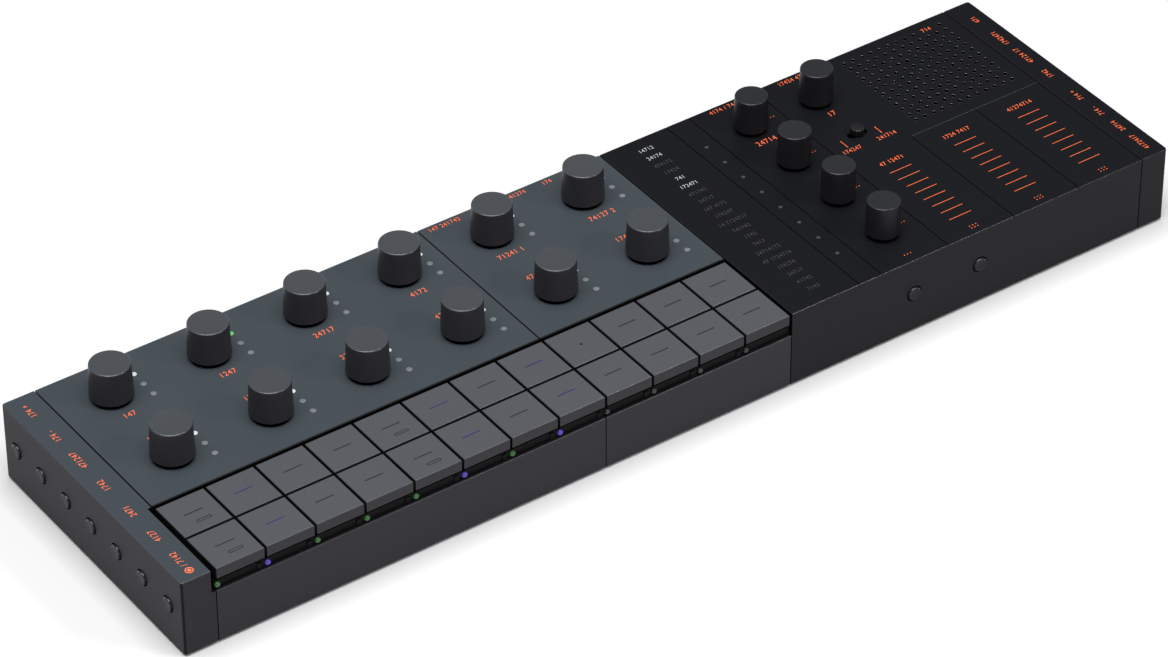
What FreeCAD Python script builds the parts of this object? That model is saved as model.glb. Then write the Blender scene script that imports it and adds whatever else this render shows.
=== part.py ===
import FreeCAD, Part
import os

import Sketcher

# Driving sizes in millimetres: name, value, meaning.
# Places are given from the case's front left bottom corner, X right, Y back, Z up.
SIZES = [
    ("shell_wall", 1.8, "wall of the covers and end blocks"),
    ("shell_fit", 0.2, "gap between the tray's rim and the covers"),
    ("seam_gap", 0.35, "open seam between neighbouring covers"),
    ("corner_round", 1.0, "upright corners of the end blocks"),
    ("edge_round", 0.3, "top edges of the covers"),
    ("left_block", 10.7, "left end block, to the middle of its seam"),
    ("right_block", 9.6, "right end block, to the middle of its seam"),
    ("drum_columns", 8, "key columns of the drum panel"),
    ("synth_columns", 4, "key columns of the synth panel"),
    ("key_pitch", 16.0, "key column to key column"),
    ("key_gap", 0.85, "gap between neighbouring keys"),
    ("key_depth", 15.0, "key, front to back"),
    ("key_row_gap", 0.9, "gap between the two rows of keys"),
    ("key_back_gap", 1.2, "gap behind the rear row of keys"),
    ("well_side", 1.3, "key well, into the left end block"),
    ("key_thickness", 3.5, "cap of a key, seen from the front"),
    ("key_web", 1.5, "top plate of a key"),
    ("key_rib_inset", 2.6, "inner rib of a key, in from the cap's edge"),
    ("key_rib", 1.0, "inner rib of a key, thickness"),
    ("key_stem", 5.0, "square stem of a key"),
    ("key_hook", 0.95, "height of the stem's hook under the well floor"),
    ("key_hook_reach", 0.7, "reach of the hook past the hole's edge"),
    ("key_travel", 1.2, "travel of a key"),
    ("key_slack", 0.2, "room left under a fully pressed key"),
    ("stem_clearance", 0.3, "stem to its hole, each side"),
    ("hook_gap", 0.05, "hook to the well floor at rest"),
    ("lamp_bar_height", 2.7, "dark bar under the front keys"),
    ("lamp_bar_depth", 1.2, "dark bar, front to back"),
    ("lamp_bar_inset", 1.0, "dark bar, behind the front face"),
    ("key_lamp_radius", 1.0, "lamp on the dark bar"),
    ("key_lamp_proud", 0.4, "lamp in front of the dark bar"),
    ("key_lamp_shift", 0.9, "lamp to the right of its column's edge"),
    ("knob_margin", 15.1, "knob row to the edge of the upper panel"),
    ("knob_row_pitch", 32.1, "front to rear row of large knobs"),
    ("knob_height", 12.0, "top of a knob above the panel"),
    ("knob_lift", 1.4, "skirt of a knob above the panel's face"),
    ("knob_top_wall", 1.6, "top of a knob"),
    ("knob_wall", 1.2, "skirt wall of a knob"),
    ("knob_round", 0.35, "bevel round a knob's top"),
    ("knob_hole_inset", 0.65, "edge of a knob's hole, in from its skirt"),
    ("track_knob_top", 6.0, "radius of a large knob's top"),
    ("track_knob_base", 6.4, "radius of a large knob's base"),
    ("slim_knob_top", 4.95, "radius of a slim knob's top"),
    ("slim_knob_base", 5.25, "radius of a slim knob's base"),
    ("shaft_radius", 2.0, "knob shaft"),
    ("shaft_grip", 0.02, "shaft to the knob's bore"),
    ("shaft_clearance", 0.05, "shaft to the encoder's bush"),
    ("shaft_depth", 4.5, "shaft inside the encoder's body"),
    ("boss_wall", 1.0, "wall of the boss inside a knob"),
    ("encoder_side", 10.4, "square body of an encoder"),
    ("encoder_height", 6.5, "body of an encoder"),
    ("encoder_floor", 0.8, "bottom of an encoder under its shaft"),
    ("bush_radius", 3.2, "bush of an encoder"),
    ("bush_drop", 1.6, "bush of an encoder below the panel's face"),
    ("track_lamp_radius", 0.9, "light pipe beside a large knob"),
    ("track_lamp_fit", 0.03, "light pipe to its hole"),
    ("track_lamp_shift", 10.3, "light pipes to the right of the knob"),
    ("track_lamp_pitch", 5.3, "light pipe to light pipe"),
    ("track_lamp_flange", 0.6, "flange of a light pipe, past its rod"),
    ("track_lamp_flange_height", 1.3, "flange of a light pipe"),
    ("pipe_gap", 0.4, "light pipe to the board"),
    ("effects_shift", 0.5, "seam of the effects panel past the last key column"),
    ("effects_pitch", 24.1, "column to column on the effects panel"),
    ("lamp_strip", 8.1, "narrow lamp column of the effects panel"),
    ("effects_columns", 5, "wide columns of the effects panel"),
    ("groove_width", 0.35, "groove between effects columns"),
    ("groove_depth", 0.35, "groove between effects columns"),
    ("grille_edge", 48.1, "lower edge of the loudspeaker's field"),
    ("slim_knob_first", 15.5, "front knob of the slim column"),
    ("slim_knob_pitch", 21.27, "slim knob to slim knob"),
    ("slim_knobs", 4, "knobs in the slim column"),
    ("grille_holes", 12, "grille holes each way"),
    ("grille_pitch_x", 3.3, "grille hole to hole, along X"),
    ("grille_pitch_y", 3.2, "grille hole to hole, along Y"),
    ("grille_radius", 0.7, "grille hole"),
    ("grille_from_seam", 41.7, "first grille column, left of the right seam"),
    ("grille_from_rear", 4.7, "first grille row, in from the rear face"),
    ("switch_row", 59.0, "slide switch, from the front face"),
    ("switch_cap", 2.2, "cap radius of the slide switch"),
    ("switch_cap_height", 2.4, "cap of the slide switch above the panel"),
    ("switch_stem", 1.1, "stem radius of the slide switch"),
    ("switch_reach", 2.0, "slide switch, each way from the middle"),
    ("switch_slot_gap", 0.35, "stem to its slot"),
    ("switch_foot_length", 12.0, "carriage of the slide switch"),
    ("switch_foot_width", 5.0, "carriage of the slide switch"),
    ("switch_foot_height", 1.2, "carriage of the slide switch"),
    ("switch_foot_gap", 0.1, "carriage to the panel and to the switch body"),
    ("tray_floor", 2.0, "floor of the tray"),
    ("tray_rim", 1.5, "rim of the tray, thickness"),
    ("tray_rim_rise", 6.5, "rim of the tray, above its floor"),
    ("board_lift", 6.6, "board above the tray's floor"),
    ("board_thickness", 1.6, "circuit board"),
    ("board_gap", 0.4, "board to the tray's rim and to the bosses"),
    ("board_overhang", 2.0, "board past the seam, into the left block"),
    ("standoff_radius", 3.0, "stand-off of the tray"),
    ("standoff_inset", 12.0, "stand-off row, in from front and rear"),
    ("standoff_count", 4, "stand-offs along the tray"),
    ("press_slack", 0.1, "room between a pressed plunger and its switch"),
    ("key_switch_side", 6.0, "body of a key switch"),
    ("key_switch_body", 2.2, "body of a key switch, height"),
    ("key_switch_cap", 0.9, "plunger of a key switch, height"),
    ("key_switch_cap_radius", 1.7, "plunger of a key switch"),
    ("button_radius", 2.2, "push button"),
    ("button_hole_gap", 0.4, "push button to its hole"),
    ("button_flange", 1.0, "flange of a push button, past its face"),
    ("button_flange_height", 1.0, "flange of a push button, thickness"),
    ("button_flange_gap", 0.05, "flange to the inside of the wall at rest"),
    ("button_stem", 1.5, "stem radius of a push button"),
    ("button_stem_length", 1.0, "stem of a push button"),
    ("button_lift", 2.7, "button axis above the board"),
    ("button_bevel", 0.25, "bevel of a push button's face"),
    ("end_button_proud", 0.8, "end buttons in front of the wall"),
    ("end_button_travel", 0.6, "travel of the end buttons"),
    ("front_button_proud", 1.3, "front and rear buttons in front of the wall"),
    ("front_button_travel", 0.8, "travel of the front and rear buttons"),
    ("side_switch_width", 4.0, "side-push switch"),
    ("side_switch_depth", 3.5, "side-push switch, along the push"),
    ("side_switch_height", 4.6, "side-push switch"),
    ("left_button_first", 7.6, "first left button, from the front face"),
    ("left_button_last", 7.0, "last left button, in from the rear face"),
    ("left_buttons", 7, "buttons in the left end"),
    ("right_button_first", 7.5, "first right button, from the front face"),
    ("right_button_pitch", 9.73, "right button to right button"),
    ("right_buttons", 4, "buttons in the right end"),
    ("rear_button_first", 8.0, "first rear button, from the synth panel's seam"),
    ("rear_button_second", 23.3, "second rear button, from that seam"),
    ("rear_button_pitch", 10.4, "the next rear buttons"),
    ("usb_from_rear", 9.1, "USB socket, in from the rear face"),
    ("usb_width", 9.0, "USB socket shell"),
    ("usb_height", 3.3, "USB socket shell"),
    ("usb_wall", 0.3, "USB socket shell, wall"),
    ("usb_length", 7.4, "USB socket shell"),
    ("usb_tongue_width", 6.6, "tongue of the USB socket"),
    ("usb_tongue", 0.7, "tongue of the USB socket, thickness"),
    ("usb_tongue_length", 5.0, "tongue of the USB socket"),
    ("jack_from_rear", 21.1, "first jack socket, in from the rear face"),
    ("jack_pitch", 11.45, "jack to jack"),
    ("jacks", 3, "jack sockets"),
    ("jack_bore", 1.8, "bore radius for a 3.5 mm plug"),
    ("jack_bore_depth", 14.2, "bore of a jack socket"),
    ("jack_nose", 2.9, "nose radius of a jack socket"),
    ("jack_body_width", 6.2, "body of a jack socket"),
    ("jack_body_length", 13.0, "body of a jack socket"),
    ("socket_gap", 0.2, "sockets to their holes"),
    ("battery_length", 80.0, "battery pack"),
    ("battery_width", 56.0, "battery pack"),
    ("battery_height", 5.6, "battery pack"),
    ("battery_from_left", 38.0, "battery pack, from the left face"),
    ("battery_round", 1.5, "battery pack, edges"),
    ("speaker_radius", 19.0, "loudspeaker rim"),
    ("speaker_rim", 1.2, "loudspeaker rim, height"),
    ("speaker_throat", 9.0, "loudspeaker basket at the magnet"),
    ("speaker_basket", 3.6, "loudspeaker basket below its rim"),
    ("speaker_magnet", 8.0, "loudspeaker magnet radius"),
    ("speaker_magnet_height", 3.2, "loudspeaker magnet"),
    ("speaker_wall", 0.8, "loudspeaker basket wall"),
    ("cone_wall", 0.4, "loudspeaker cone"),
    ("cone_gap", 0.2, "cone to basket"),
    ("foot_radius", 5.0, "rubber foot"),
    ("foot_height", 1.0, "rubber foot"),
    ("foot_inset_x", 20.0, "feet, in from the ends"),
    ("foot_inset_y", 14.0, "feet, in from front and rear"),
    ("foot_bevel", 0.3, "bevel of a foot"),
    ("boss_radius", 2.5, "screw boss"),
    ("boss_from_seam", 2.95, "screw boss, in from its panel's end"),
    ("boss_from_well", 5.9, "screw boss, behind the key well's edge"),
    ("screw_radius", 1.25, "case screw"),
    ("screw_head", 2.3, "case screw head radius"),
    ("screw_head_height", 1.0, "case screw head"),
    ("screw_length", 7.0, "case screw below its head"),
    ("screw_gap", 0.15, "case screw to its holes"),
    ("screw_socket", 0.9, "hexagon socket of a case screw"),
    ("screw_socket_depth", 0.6, "hexagon socket of a case screw"),
]

doc = FreeCAD.newDocument("drum_machine")
sheet = doc.addObject("Spreadsheet::Sheet", "Sizes")
for row, (alias, value, meaning) in enumerate(SIZES, start=1):
    sheet.set(f"A{row}", meaning)
    sheet.set(f"B{row}", str(value))
    sheet.setAlias(f"B{row}", alias)
doc.recompute()


class Size:
    """A length kept as an expression of the sheet's cells, so that it can be bound to a property."""

    def __init__(self, text):
        self.text = str(text)

    def __add__(self, other):
        return Size(f"({self.text} + {Size.of(other).text})")

    def __sub__(self, other):
        return Size(f"({self.text} - {Size.of(other).text})")

    def __mul__(self, other):
        return Size(f"{self.text} * {Size.of(other).text}")

    def __truediv__(self, other):
        return Size(f"{self.text} / {Size.of(other).text}")

    def __neg__(self):
        return Size(f"(0 - {self.text})")

    def __float__(self):
        value = sheet.evalExpression(self.text)
        return float(getattr(value, "Value", value))

    @staticmethod
    def of(item):
        return item if isinstance(item, Size) else Size(item)


class Cells:
    """Every cell of the sheet by its name, such as CELL.key_pitch."""

    def __getattr__(self, alias):
        return Size(f"Sizes.{alias}")


CELL = Cells()
ZERO = Size(0)


def count(size):
    """Whole number held by a cell."""
    return int(round(float(size)))


# Places worked out from the driving sizes

columns = CELL.drum_columns + CELL.synth_columns
synth_seam = CELL.left_block + CELL.drum_columns * CELL.key_pitch
keys_end = CELL.left_block + columns * CELL.key_pitch
effects_seam = keys_end + CELL.effects_shift
right_seam = effects_seam + CELL.effects_columns * CELL.effects_pitch + CELL.lamp_strip
case_length = right_seam + CELL.right_block

well_depth = CELL.key_depth * 2 + CELL.key_row_gap + CELL.key_back_gap
front_knob_row = well_depth + CELL.knob_margin
rear_knob_row = front_knob_row + CELL.knob_row_pitch
case_depth = rear_knob_row + CELL.knob_margin
left_button_span = case_depth - CELL.left_button_first - CELL.left_button_last
left_button_pitch = left_button_span / (CELL.left_buttons - 1)

board_top = CELL.tray_floor + CELL.board_lift + CELL.board_thickness
key_switch_top = board_top + CELL.key_switch_body + CELL.key_switch_cap
hook_bottom = key_switch_top + CELL.press_slack + CELL.key_travel
hook_top = hook_bottom + CELL.key_hook
well_floor_bottom = hook_top + CELL.hook_gap
well_floor_top = well_floor_bottom + CELL.shell_wall
lamp_bar_top = well_floor_top + CELL.lamp_bar_height
key_bottom = lamp_bar_top + CELL.key_travel + CELL.key_slack
case_height = key_bottom + CELL.key_thickness
panel_bottom = case_height - CELL.shell_wall
button_axis = board_top + CELL.button_lift
jack_axis = board_top + CELL.jack_body_width / 2
usb_axis = board_top + CELL.usb_height / 2

origin_shift = (-case_length / 2, -case_depth / 2, CELL.foot_height)


def place(item, x, y, z):
    """Put an object at a place given from the case's corner."""
    for axis, size, shift in zip("xyz", (x, y, z), origin_shift):
        item.setExpression(f"Placement.Base.{axis}", (Size.of(size) + shift).text)
    return item


def place_local(item, x, y, z):
    """Put an object at a place in its own piece's frame."""
    for axis, size in zip("xyz", (x, y, z)):
        item.setExpression(f"Placement.Base.{axis}", Size.of(size).text)
    return item


def box(name, low, high, put=place):
    """Box between two opposite corners."""
    item = doc.addObject("Part::Box", name)
    for side, start, end in zip(("Length", "Width", "Height"), low, high):
        item.setExpression(side, (Size.of(end) - start).text)
    return put(item, *low)


TURN = {
    "+x": FreeCAD.Rotation(FreeCAD.Vector(0, 1, 0), 90),
    "-x": FreeCAD.Rotation(FreeCAD.Vector(0, 1, 0), -90),
    "+y": FreeCAD.Rotation(FreeCAD.Vector(1, 0, 0), -90),
    "-y": FreeCAD.Rotation(FreeCAD.Vector(1, 0, 0), 90),
    "+z": FreeCAD.Rotation(),
}


def rod(name, start, radius, length, way="+z", put=place):
    """Cylinder from the centre of its first end, along a way such as +z."""
    item = doc.addObject("Part::Cylinder", name)
    item.setExpression("Radius", Size.of(radius).text)
    item.setExpression("Height", Size.of(length).text)
    item.Placement = FreeCAD.Placement(FreeCAD.Vector(), TURN[way])
    return put(item, *start)


def group(name, items):
    """Separate solids kept together."""
    item = doc.addObject("Part::Compound", name)
    item.Links = items
    return item


def fuse(name, items):
    item = doc.addObject("Part::MultiFuse", name)
    item.Shapes = items
    return item


def cut(name, base, tools):
    item = doc.addObject("Part::Cut", name)
    item.Base = base
    item.Tool = group(f"{name}_tools", tools) if len(tools) > 1 else tools[0]
    return item


def copy(name, source, x, y, z, way="+z"):
    """The same piece again at another place of the case."""
    item = group(name, [source])
    item.Placement = FreeCAD.Placement(FreeCAD.Vector(), TURN[way])
    return place(item, x, y, z)


def outline(body, name, plane, points):
    """Closed sketch through points whose coordinates are bound to the sheet."""
    sketch = body.newObject("Sketcher::SketchObject", name)
    origin_plane = [item for item in body.Origin.OriginFeatures if item.Role == plane][0]
    sketch.AttachmentSupport = [(origin_plane, "")]
    sketch.MapMode = "FlatFace"
    places = [FreeCAD.Vector(float(Size.of(u)), float(Size.of(v)), 0) for u, v in points]
    total = len(points)
    for index in range(total):
        line = Part.LineSegment(places[index], places[(index + 1) % total])
        sketch.addGeometry(line, False)
    for index in range(total):
        sketch.addConstraint(Sketcher.Constraint("Coincident", index, 2, (index + 1) % total, 1))
    for index, point in enumerate(points):
        for kind, axis, size, at in zip(("DistanceX", "DistanceY"), (-2, -1), point, places[index]):
            if size is ZERO:
                sketch.addConstraint(Sketcher.Constraint("PointOnObject", index, 1, axis))
                continue
            bound = f"{kind}{index}"
            number = sketch.addConstraint(Sketcher.Constraint(kind, -1, 1, index, 1, at))
            sketch.renameConstraint(number, bound)
            sketch.setExpression(f"Constraints.{bound}", Size.of(size).text)
    return sketch


def turned(name, points):
    """Piece turned about its own Z axis from a half section of (radius, height) points."""
    body = doc.addObject("PartDesign::Body", name)
    sketch = outline(body, f"{name}_section", "XZ_Plane", points)
    turn = body.newObject("PartDesign::Revolution", f"{name}_turn")
    turn.Profile = (sketch, [""])
    turn.ReferenceAxis = (sketch, ["V_Axis"])
    turn.Angle = 360
    body.Tip = turn
    return body


def extruded(name, plane, points, length):
    """Piece with a constant section, drawn on one of its origin planes."""
    body = doc.addObject("PartDesign::Body", name)
    sketch = outline(body, f"{name}_section", plane, points)
    pad = body.newObject("PartDesign::Pad", f"{name}_pad")
    pad.Profile = (sketch, [""])
    pad.setExpression("Length", Size.of(length).text)
    body.Tip = pad
    return body


def soften(body, name, radius, wanted):
    """Fillet on the edges of the body's last feature that pass a test on their bounding box."""
    doc.recompute()
    base = body.Tip
    names = [f"Edge{i}" for i, edge in enumerate(base.Shape.Edges, start=1) if wanted(edge.BoundBox)]
    fillet = body.newObject("PartDesign::Fillet", name)
    fillet.Base = (base, names)
    fillet.setExpression("Radius", Size.of(radius).text)
    body.Tip = fillet
    return body


def near(value, size):
    return abs(value - float(Size.of(size))) < 1e-4


def flat(span):
    return span < 1e-4


pieces = []


def piece(name, item):
    """Take an object as one of the kept sub-parts."""
    item.Label = name
    pieces.append(item)
    return item


# Screws and bosses

inner_front = CELL.shell_wall + CELL.shell_fit
inner_left = inner_front
inner_right = case_length - inner_front
inner_rear = case_depth - inner_front
boss_inset = inner_front + CELL.tray_rim + CELL.boss_radius + CELL.shell_fit
boss_rear = case_depth - boss_inset
boss_well = well_depth + CELL.boss_from_well
half_seam = CELL.seam_gap / 2

PANEL_SPANS = {
    "drum": (CELL.left_block + half_seam, synth_seam - half_seam),
    "synth": (synth_seam + half_seam, effects_seam - half_seam),
    "effects": (effects_seam + half_seam, right_seam - half_seam),
}


def panel_bosses(panel):
    """Centres of a panel's four screw bosses."""
    start, end = PANEL_SPANS[panel]
    front = boss_inset if panel == "effects" else boss_well
    return [
        (x, y)
        for x in (start + CELL.boss_from_seam, end - CELL.boss_from_seam)
        for y in (front, boss_rear)
    ]


def between_left_buttons(step):
    """Middle of the space after the button with this number."""
    return CELL.left_button_first + left_button_pitch * step + left_button_pitch / 2


last_space = count(CELL.left_buttons) - 2
left_block_bosses = [(boss_inset, between_left_buttons(step)) for step in (0, last_space)]
last_right_button = CELL.right_button_first + CELL.right_button_pitch * (CELL.right_buttons - 1)
last_jack = case_depth - CELL.jack_from_rear - CELL.jack_pitch * (CELL.jacks - 1)
right_block_bosses = [
    (case_length - boss_inset, CELL.right_button_first + CELL.right_button_pitch / 2),
    (case_length - boss_inset, (last_right_button + last_jack) / 2),
]
all_bosses = (
    panel_bosses("drum") + panel_bosses("synth") + panel_bosses("effects")
    + left_block_bosses + right_block_bosses
)


def boss(name, x, y, top):
    """Screw boss from the tray's floor up into a cover."""
    post = rod(name, (x, y, CELL.tray_floor), CELL.boss_radius, top - CELL.tray_floor)
    return post


def boss_hole(name, x, y):
    """Screw hole in a boss."""
    depth = CELL.screw_length - (CELL.tray_floor - CELL.screw_head_height) + CELL.screw_gap * 4
    return rod(name, (x, y, CELL.tray_floor), CELL.screw_radius + CELL.screw_gap, depth)


# Key wells and panels

key_places = [
    (row, column)
    for row in range(2)
    for column in range(count(columns))
]


def key_centre(row, column):
    x = CELL.left_block + CELL.key_pitch * (column + 0.5)
    y = CELL.key_depth / 2 + (CELL.key_depth + CELL.key_row_gap) * row
    return x, y


stem_hole = CELL.key_stem + CELL.stem_clearance * 2


def stem_holes(panel, columns_here):
    """Square holes in the well's floor for the keys' stems."""
    holes = []
    for row in range(2):
        for column in columns_here:
            x, y = key_centre(row, column)
            low = (x - stem_hole / 2, y - stem_hole / 2, well_floor_bottom - CELL.shell_wall)
            high = (x + stem_hole / 2, y + stem_hole / 2, well_floor_top + CELL.shell_wall)
            holes.append(box(f"{panel}_stem_hole_{row}_{column}", low, high))
    return holes


def knob_x(column):
    """Large knobs stand over the middle of each pair of key columns."""
    return CELL.left_block + CELL.key_pitch * (2 * column + 1)


knob_rows = (front_knob_row, rear_knob_row)


def panel_hole(name, x, y, radius):
    """Round hole through the top plate."""
    return rod(name, (x, y, panel_bottom - CELL.shell_wall), radius, CELL.shell_wall * 3)


def lamp_places(knob_columns):
    """Centres of the light pipes beside the large knobs."""
    return [
        (knob_x(column) + CELL.track_lamp_shift, y + CELL.track_lamp_pitch * step)
        for column in knob_columns
        for y in knob_rows
        for step in (-1, 0, 1)
    ]


def stepped_panel(panel, key_columns, knob_columns):
    """Cover with a key well in front: a folded section carried along X, then its holes and bosses."""
    start, end = PANEL_SPANS[panel]
    wall = CELL.shell_wall
    section = [
        (ZERO, ZERO),
        (ZERO, well_floor_top),
        (well_depth, well_floor_top),
        (well_depth, case_height),
        (case_depth, case_height),
        (case_depth, ZERO),
        (case_depth - wall, ZERO),
        (case_depth - wall, panel_bottom),
        (well_depth + wall, panel_bottom),
        (well_depth + wall, well_floor_bottom),
        (wall, well_floor_bottom),
        (wall, ZERO),
    ]
    body = extruded(f"{panel}_cover", "YZ_Plane", section, end - start)

    def top_edge(bounds):
        on_top = near(bounds.ZMin, case_height) and near(bounds.ZMax, case_height)
        on_apron = near(bounds.ZMin, well_floor_top) and near(bounds.ZMax, well_floor_top)
        return on_top or (on_apron and near(bounds.YMax, 0))

    soften(body, f"{panel}_edges", CELL.edge_round, top_edge)
    place(body, start, ZERO, ZERO)
    bosses = [boss(f"{panel}_boss_{i}", x, y, panel_bottom + wall / 2)
              for i, (x, y) in enumerate(panel_bosses(panel))]
    cover = fuse(f"{panel}_solid", [body] + bosses)
    holes = stem_holes(panel, key_columns)
    for column in knob_columns:
        for row, y in enumerate(knob_rows):
            hole = CELL.track_knob_base - CELL.knob_hole_inset
            holes.append(panel_hole(f"{panel}_knob_hole_{row}_{column}", knob_x(column), y, hole))
    for i, (x, y) in enumerate(lamp_places(knob_columns)):
        radius = CELL.track_lamp_radius + CELL.track_lamp_fit
        holes.append(panel_hole(f"{panel}_lamp_hole_{i}", x, y, radius))
    holes += [boss_hole(f"{panel}_screw_hole_{i}", x, y)
              for i, (x, y) in enumerate(panel_bosses(panel))]
    return cover, holes


def button_hole(name, x, y, way):
    """Hole for a side button: the place is on the wall's outer face, the way points out."""
    wall = CELL.shell_wall
    back = {"+x": (x - wall * 2, y), "-x": (x + wall * 2, y),
            "+y": (x, y - wall * 2), "-y": (x, y + wall * 2)}[way]
    radius = CELL.button_radius + CELL.button_hole_gap
    return rod(name, (*back, button_axis), radius, wall * 4, way)


synth_rear_buttons = [
    synth_seam + CELL.rear_button_first,
    synth_seam + CELL.rear_button_second,
    synth_seam + CELL.rear_button_second + CELL.rear_button_pitch,
    synth_seam + CELL.rear_button_second + CELL.rear_button_pitch * 2,
]
first_wide_column = effects_seam + CELL.effects_pitch
slim_knob_x = first_wide_column + CELL.lamp_strip + CELL.effects_pitch / 2
effects_knob_x = slim_knob_x + CELL.effects_pitch
effects_buttons = [slim_knob_x, effects_knob_x]

drum_knob_columns = range(count(CELL.drum_columns) // 2)
synth_knob_columns = range(len(drum_knob_columns), count(columns) // 2)
drum_key_columns = range(count(CELL.drum_columns))
synth_key_columns = range(count(CELL.drum_columns), count(columns))

drum_solid, drum_holes = stepped_panel("drum", drum_key_columns, drum_knob_columns)
piece("drum_panel", cut("drum_panel", drum_solid, drum_holes))

synth_solid, synth_holes = stepped_panel("synth", synth_key_columns, synth_knob_columns)
for number, x in enumerate(synth_rear_buttons):
    synth_holes.append(button_hole(f"synth_button_hole_{number}", x, case_depth, "+y"))
piece("synth_panel", cut("synth_panel", synth_solid, synth_holes))


# Effects panel

slim_knobs = [(slim_knob_x, CELL.slim_knob_first + CELL.slim_knob_pitch * step)
              for step in range(count(CELL.slim_knobs))]
last_slim_row = slim_knobs[-1][1]
effects_knobs = slim_knobs + [(effects_knob_x, last_slim_row)]


def effects_cover():
    """Channel section carried along X, closed by a tab beside the key well."""
    start, end = PANEL_SPANS["effects"]
    wall = CELL.shell_wall
    section = [
        (ZERO, ZERO),
        (ZERO, case_height),
        (case_depth, case_height),
        (case_depth, ZERO),
        (case_depth - wall, ZERO),
        (case_depth - wall, panel_bottom),
        (wall, panel_bottom),
        (wall, ZERO),
    ]
    body = extruded("effects_cover", "YZ_Plane", section, end - start)
    soften(body, "effects_edges", CELL.edge_round,
           lambda b: near(b.ZMin, case_height) and near(b.ZMax, case_height))
    place(body, start, ZERO, ZERO)
    tab = box("effects_tab", (start, wall / 2, well_floor_bottom),
              (start + wall, well_depth + wall, panel_bottom + wall / 2))
    bosses = [boss(f"effects_boss_{i}", x, y, panel_bottom + wall / 2)
              for i, (x, y) in enumerate(panel_bosses("effects"))]
    return fuse("effects_solid", [body, tab] + bosses)


def groove(name, x, y_start, y_end):
    low = (x - CELL.groove_width / 2, y_start, case_height - CELL.groove_depth)
    return box(name, low, (x + CELL.groove_width / 2, y_end, case_height + CELL.shell_wall))


def effects_grooves():
    """Grooves between the columns, and the one below the loudspeaker's field."""
    full = [first_wide_column, first_wide_column + CELL.lamp_strip,
            first_wide_column + CELL.lamp_strip + CELL.effects_pitch]
    touch = [full[2] + CELL.effects_pitch, full[2] + CELL.effects_pitch * 2]
    overrun = CELL.shell_wall
    grooves = [groove(f"column_groove_{i}", x, -overrun, case_depth + overrun)
               for i, x in enumerate(full)]
    grooves += [groove(f"touch_groove_{i}", x, -overrun, CELL.grille_edge)
                for i, x in enumerate(touch)]
    low = (touch[0] + CELL.groove_width, CELL.grille_edge + CELL.groove_width,
           case_height - CELL.groove_depth)
    high = (right_seam + overrun, CELL.grille_edge + CELL.groove_width * 2,
            case_height + CELL.shell_wall)
    return grooves + [box("grille_groove", low, high)]


grille_x = right_seam - CELL.grille_from_seam
grille_y = case_depth - CELL.grille_from_rear
grille_label_columns = (9, 10)


def grille_tools():
    """Grid of small holes; two of the rear row are left out for the microphone's mark."""
    tools = []
    for across in range(count(CELL.grille_holes)):
        for down in range(count(CELL.grille_holes)):
            if down == 0 and across in grille_label_columns:
                continue
            x = grille_x + CELL.grille_pitch_x * across
            y = grille_y - CELL.grille_pitch_y * down
            tools.append(panel_hole(f"grille_hole_{across}_{down}", x, y, CELL.grille_radius))
    return tools


def switch_slot():
    """Slot with round ends for the slide switch's stem."""
    radius = CELL.switch_stem + CELL.switch_slot_gap
    low = (effects_knob_x - CELL.switch_reach, CELL.switch_row - radius, panel_bottom - CELL.shell_wall)
    high = (effects_knob_x + CELL.switch_reach, CELL.switch_row + radius, case_height + CELL.shell_wall)
    ends = [panel_hole(f"slot_end_{i}", x, CELL.switch_row, radius)
            for i, x in enumerate((low[0], high[0]))]
    return fuse("switch_slot", [box("slot_middle", low, high)] + ends)


effects_holes = effects_grooves() + grille_tools() + [switch_slot()]
for number, (x, y) in enumerate(effects_knobs):
    radius = CELL.slim_knob_base - CELL.knob_hole_inset
    effects_holes.append(panel_hole(f"slim_knob_hole_{number}", x, y, radius))
for number, x in enumerate(effects_buttons):
    effects_holes.append(button_hole(f"front_button_hole_{number}", x, ZERO, "-y"))
    effects_holes.append(button_hole(f"rear_button_hole_{number}", x, case_depth, "+y"))
for number, (x, y) in enumerate(panel_bosses("effects")):
    effects_holes.append(boss_hole(f"effects_screw_hole_{number}", x, y))
piece("effects_panel", cut("effects_panel", effects_cover(), effects_holes))


# End blocks

left_button_rows = [CELL.left_button_first + left_button_pitch * step
                    for step in range(count(CELL.left_buttons))]
right_button_rows = [CELL.right_button_first + CELL.right_button_pitch * step
                     for step in range(count(CELL.right_buttons))]
jack_rows = [case_depth - CELL.jack_from_rear - CELL.jack_pitch * step
             for step in range(count(CELL.jacks))]
usb_row = case_depth - CELL.usb_from_rear


def end_block(name, width, outer, bosses):
    """Solid block with rounded corners; outer is 0 for the left end and 1 for the right end."""
    body = extruded(f"{name}_block", "XY_Plane",
                    [(ZERO, ZERO), (width, ZERO), (width, case_depth), (ZERO, case_depth)], case_height)
    outer_face = width if outer else ZERO

    def outer_corner(bounds):
        upright = flat(bounds.XLength) and flat(bounds.YLength)
        return upright and near(bounds.XMin, outer_face)

    soften(body, f"{name}_corners", CELL.corner_round, outer_corner)
    soften(body, f"{name}_edges", CELL.edge_round,
           lambda b: near(b.ZMin, case_height) and near(b.ZMax, case_height))
    place(body, case_length - width if outer else ZERO, ZERO, ZERO)
    return body


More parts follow.
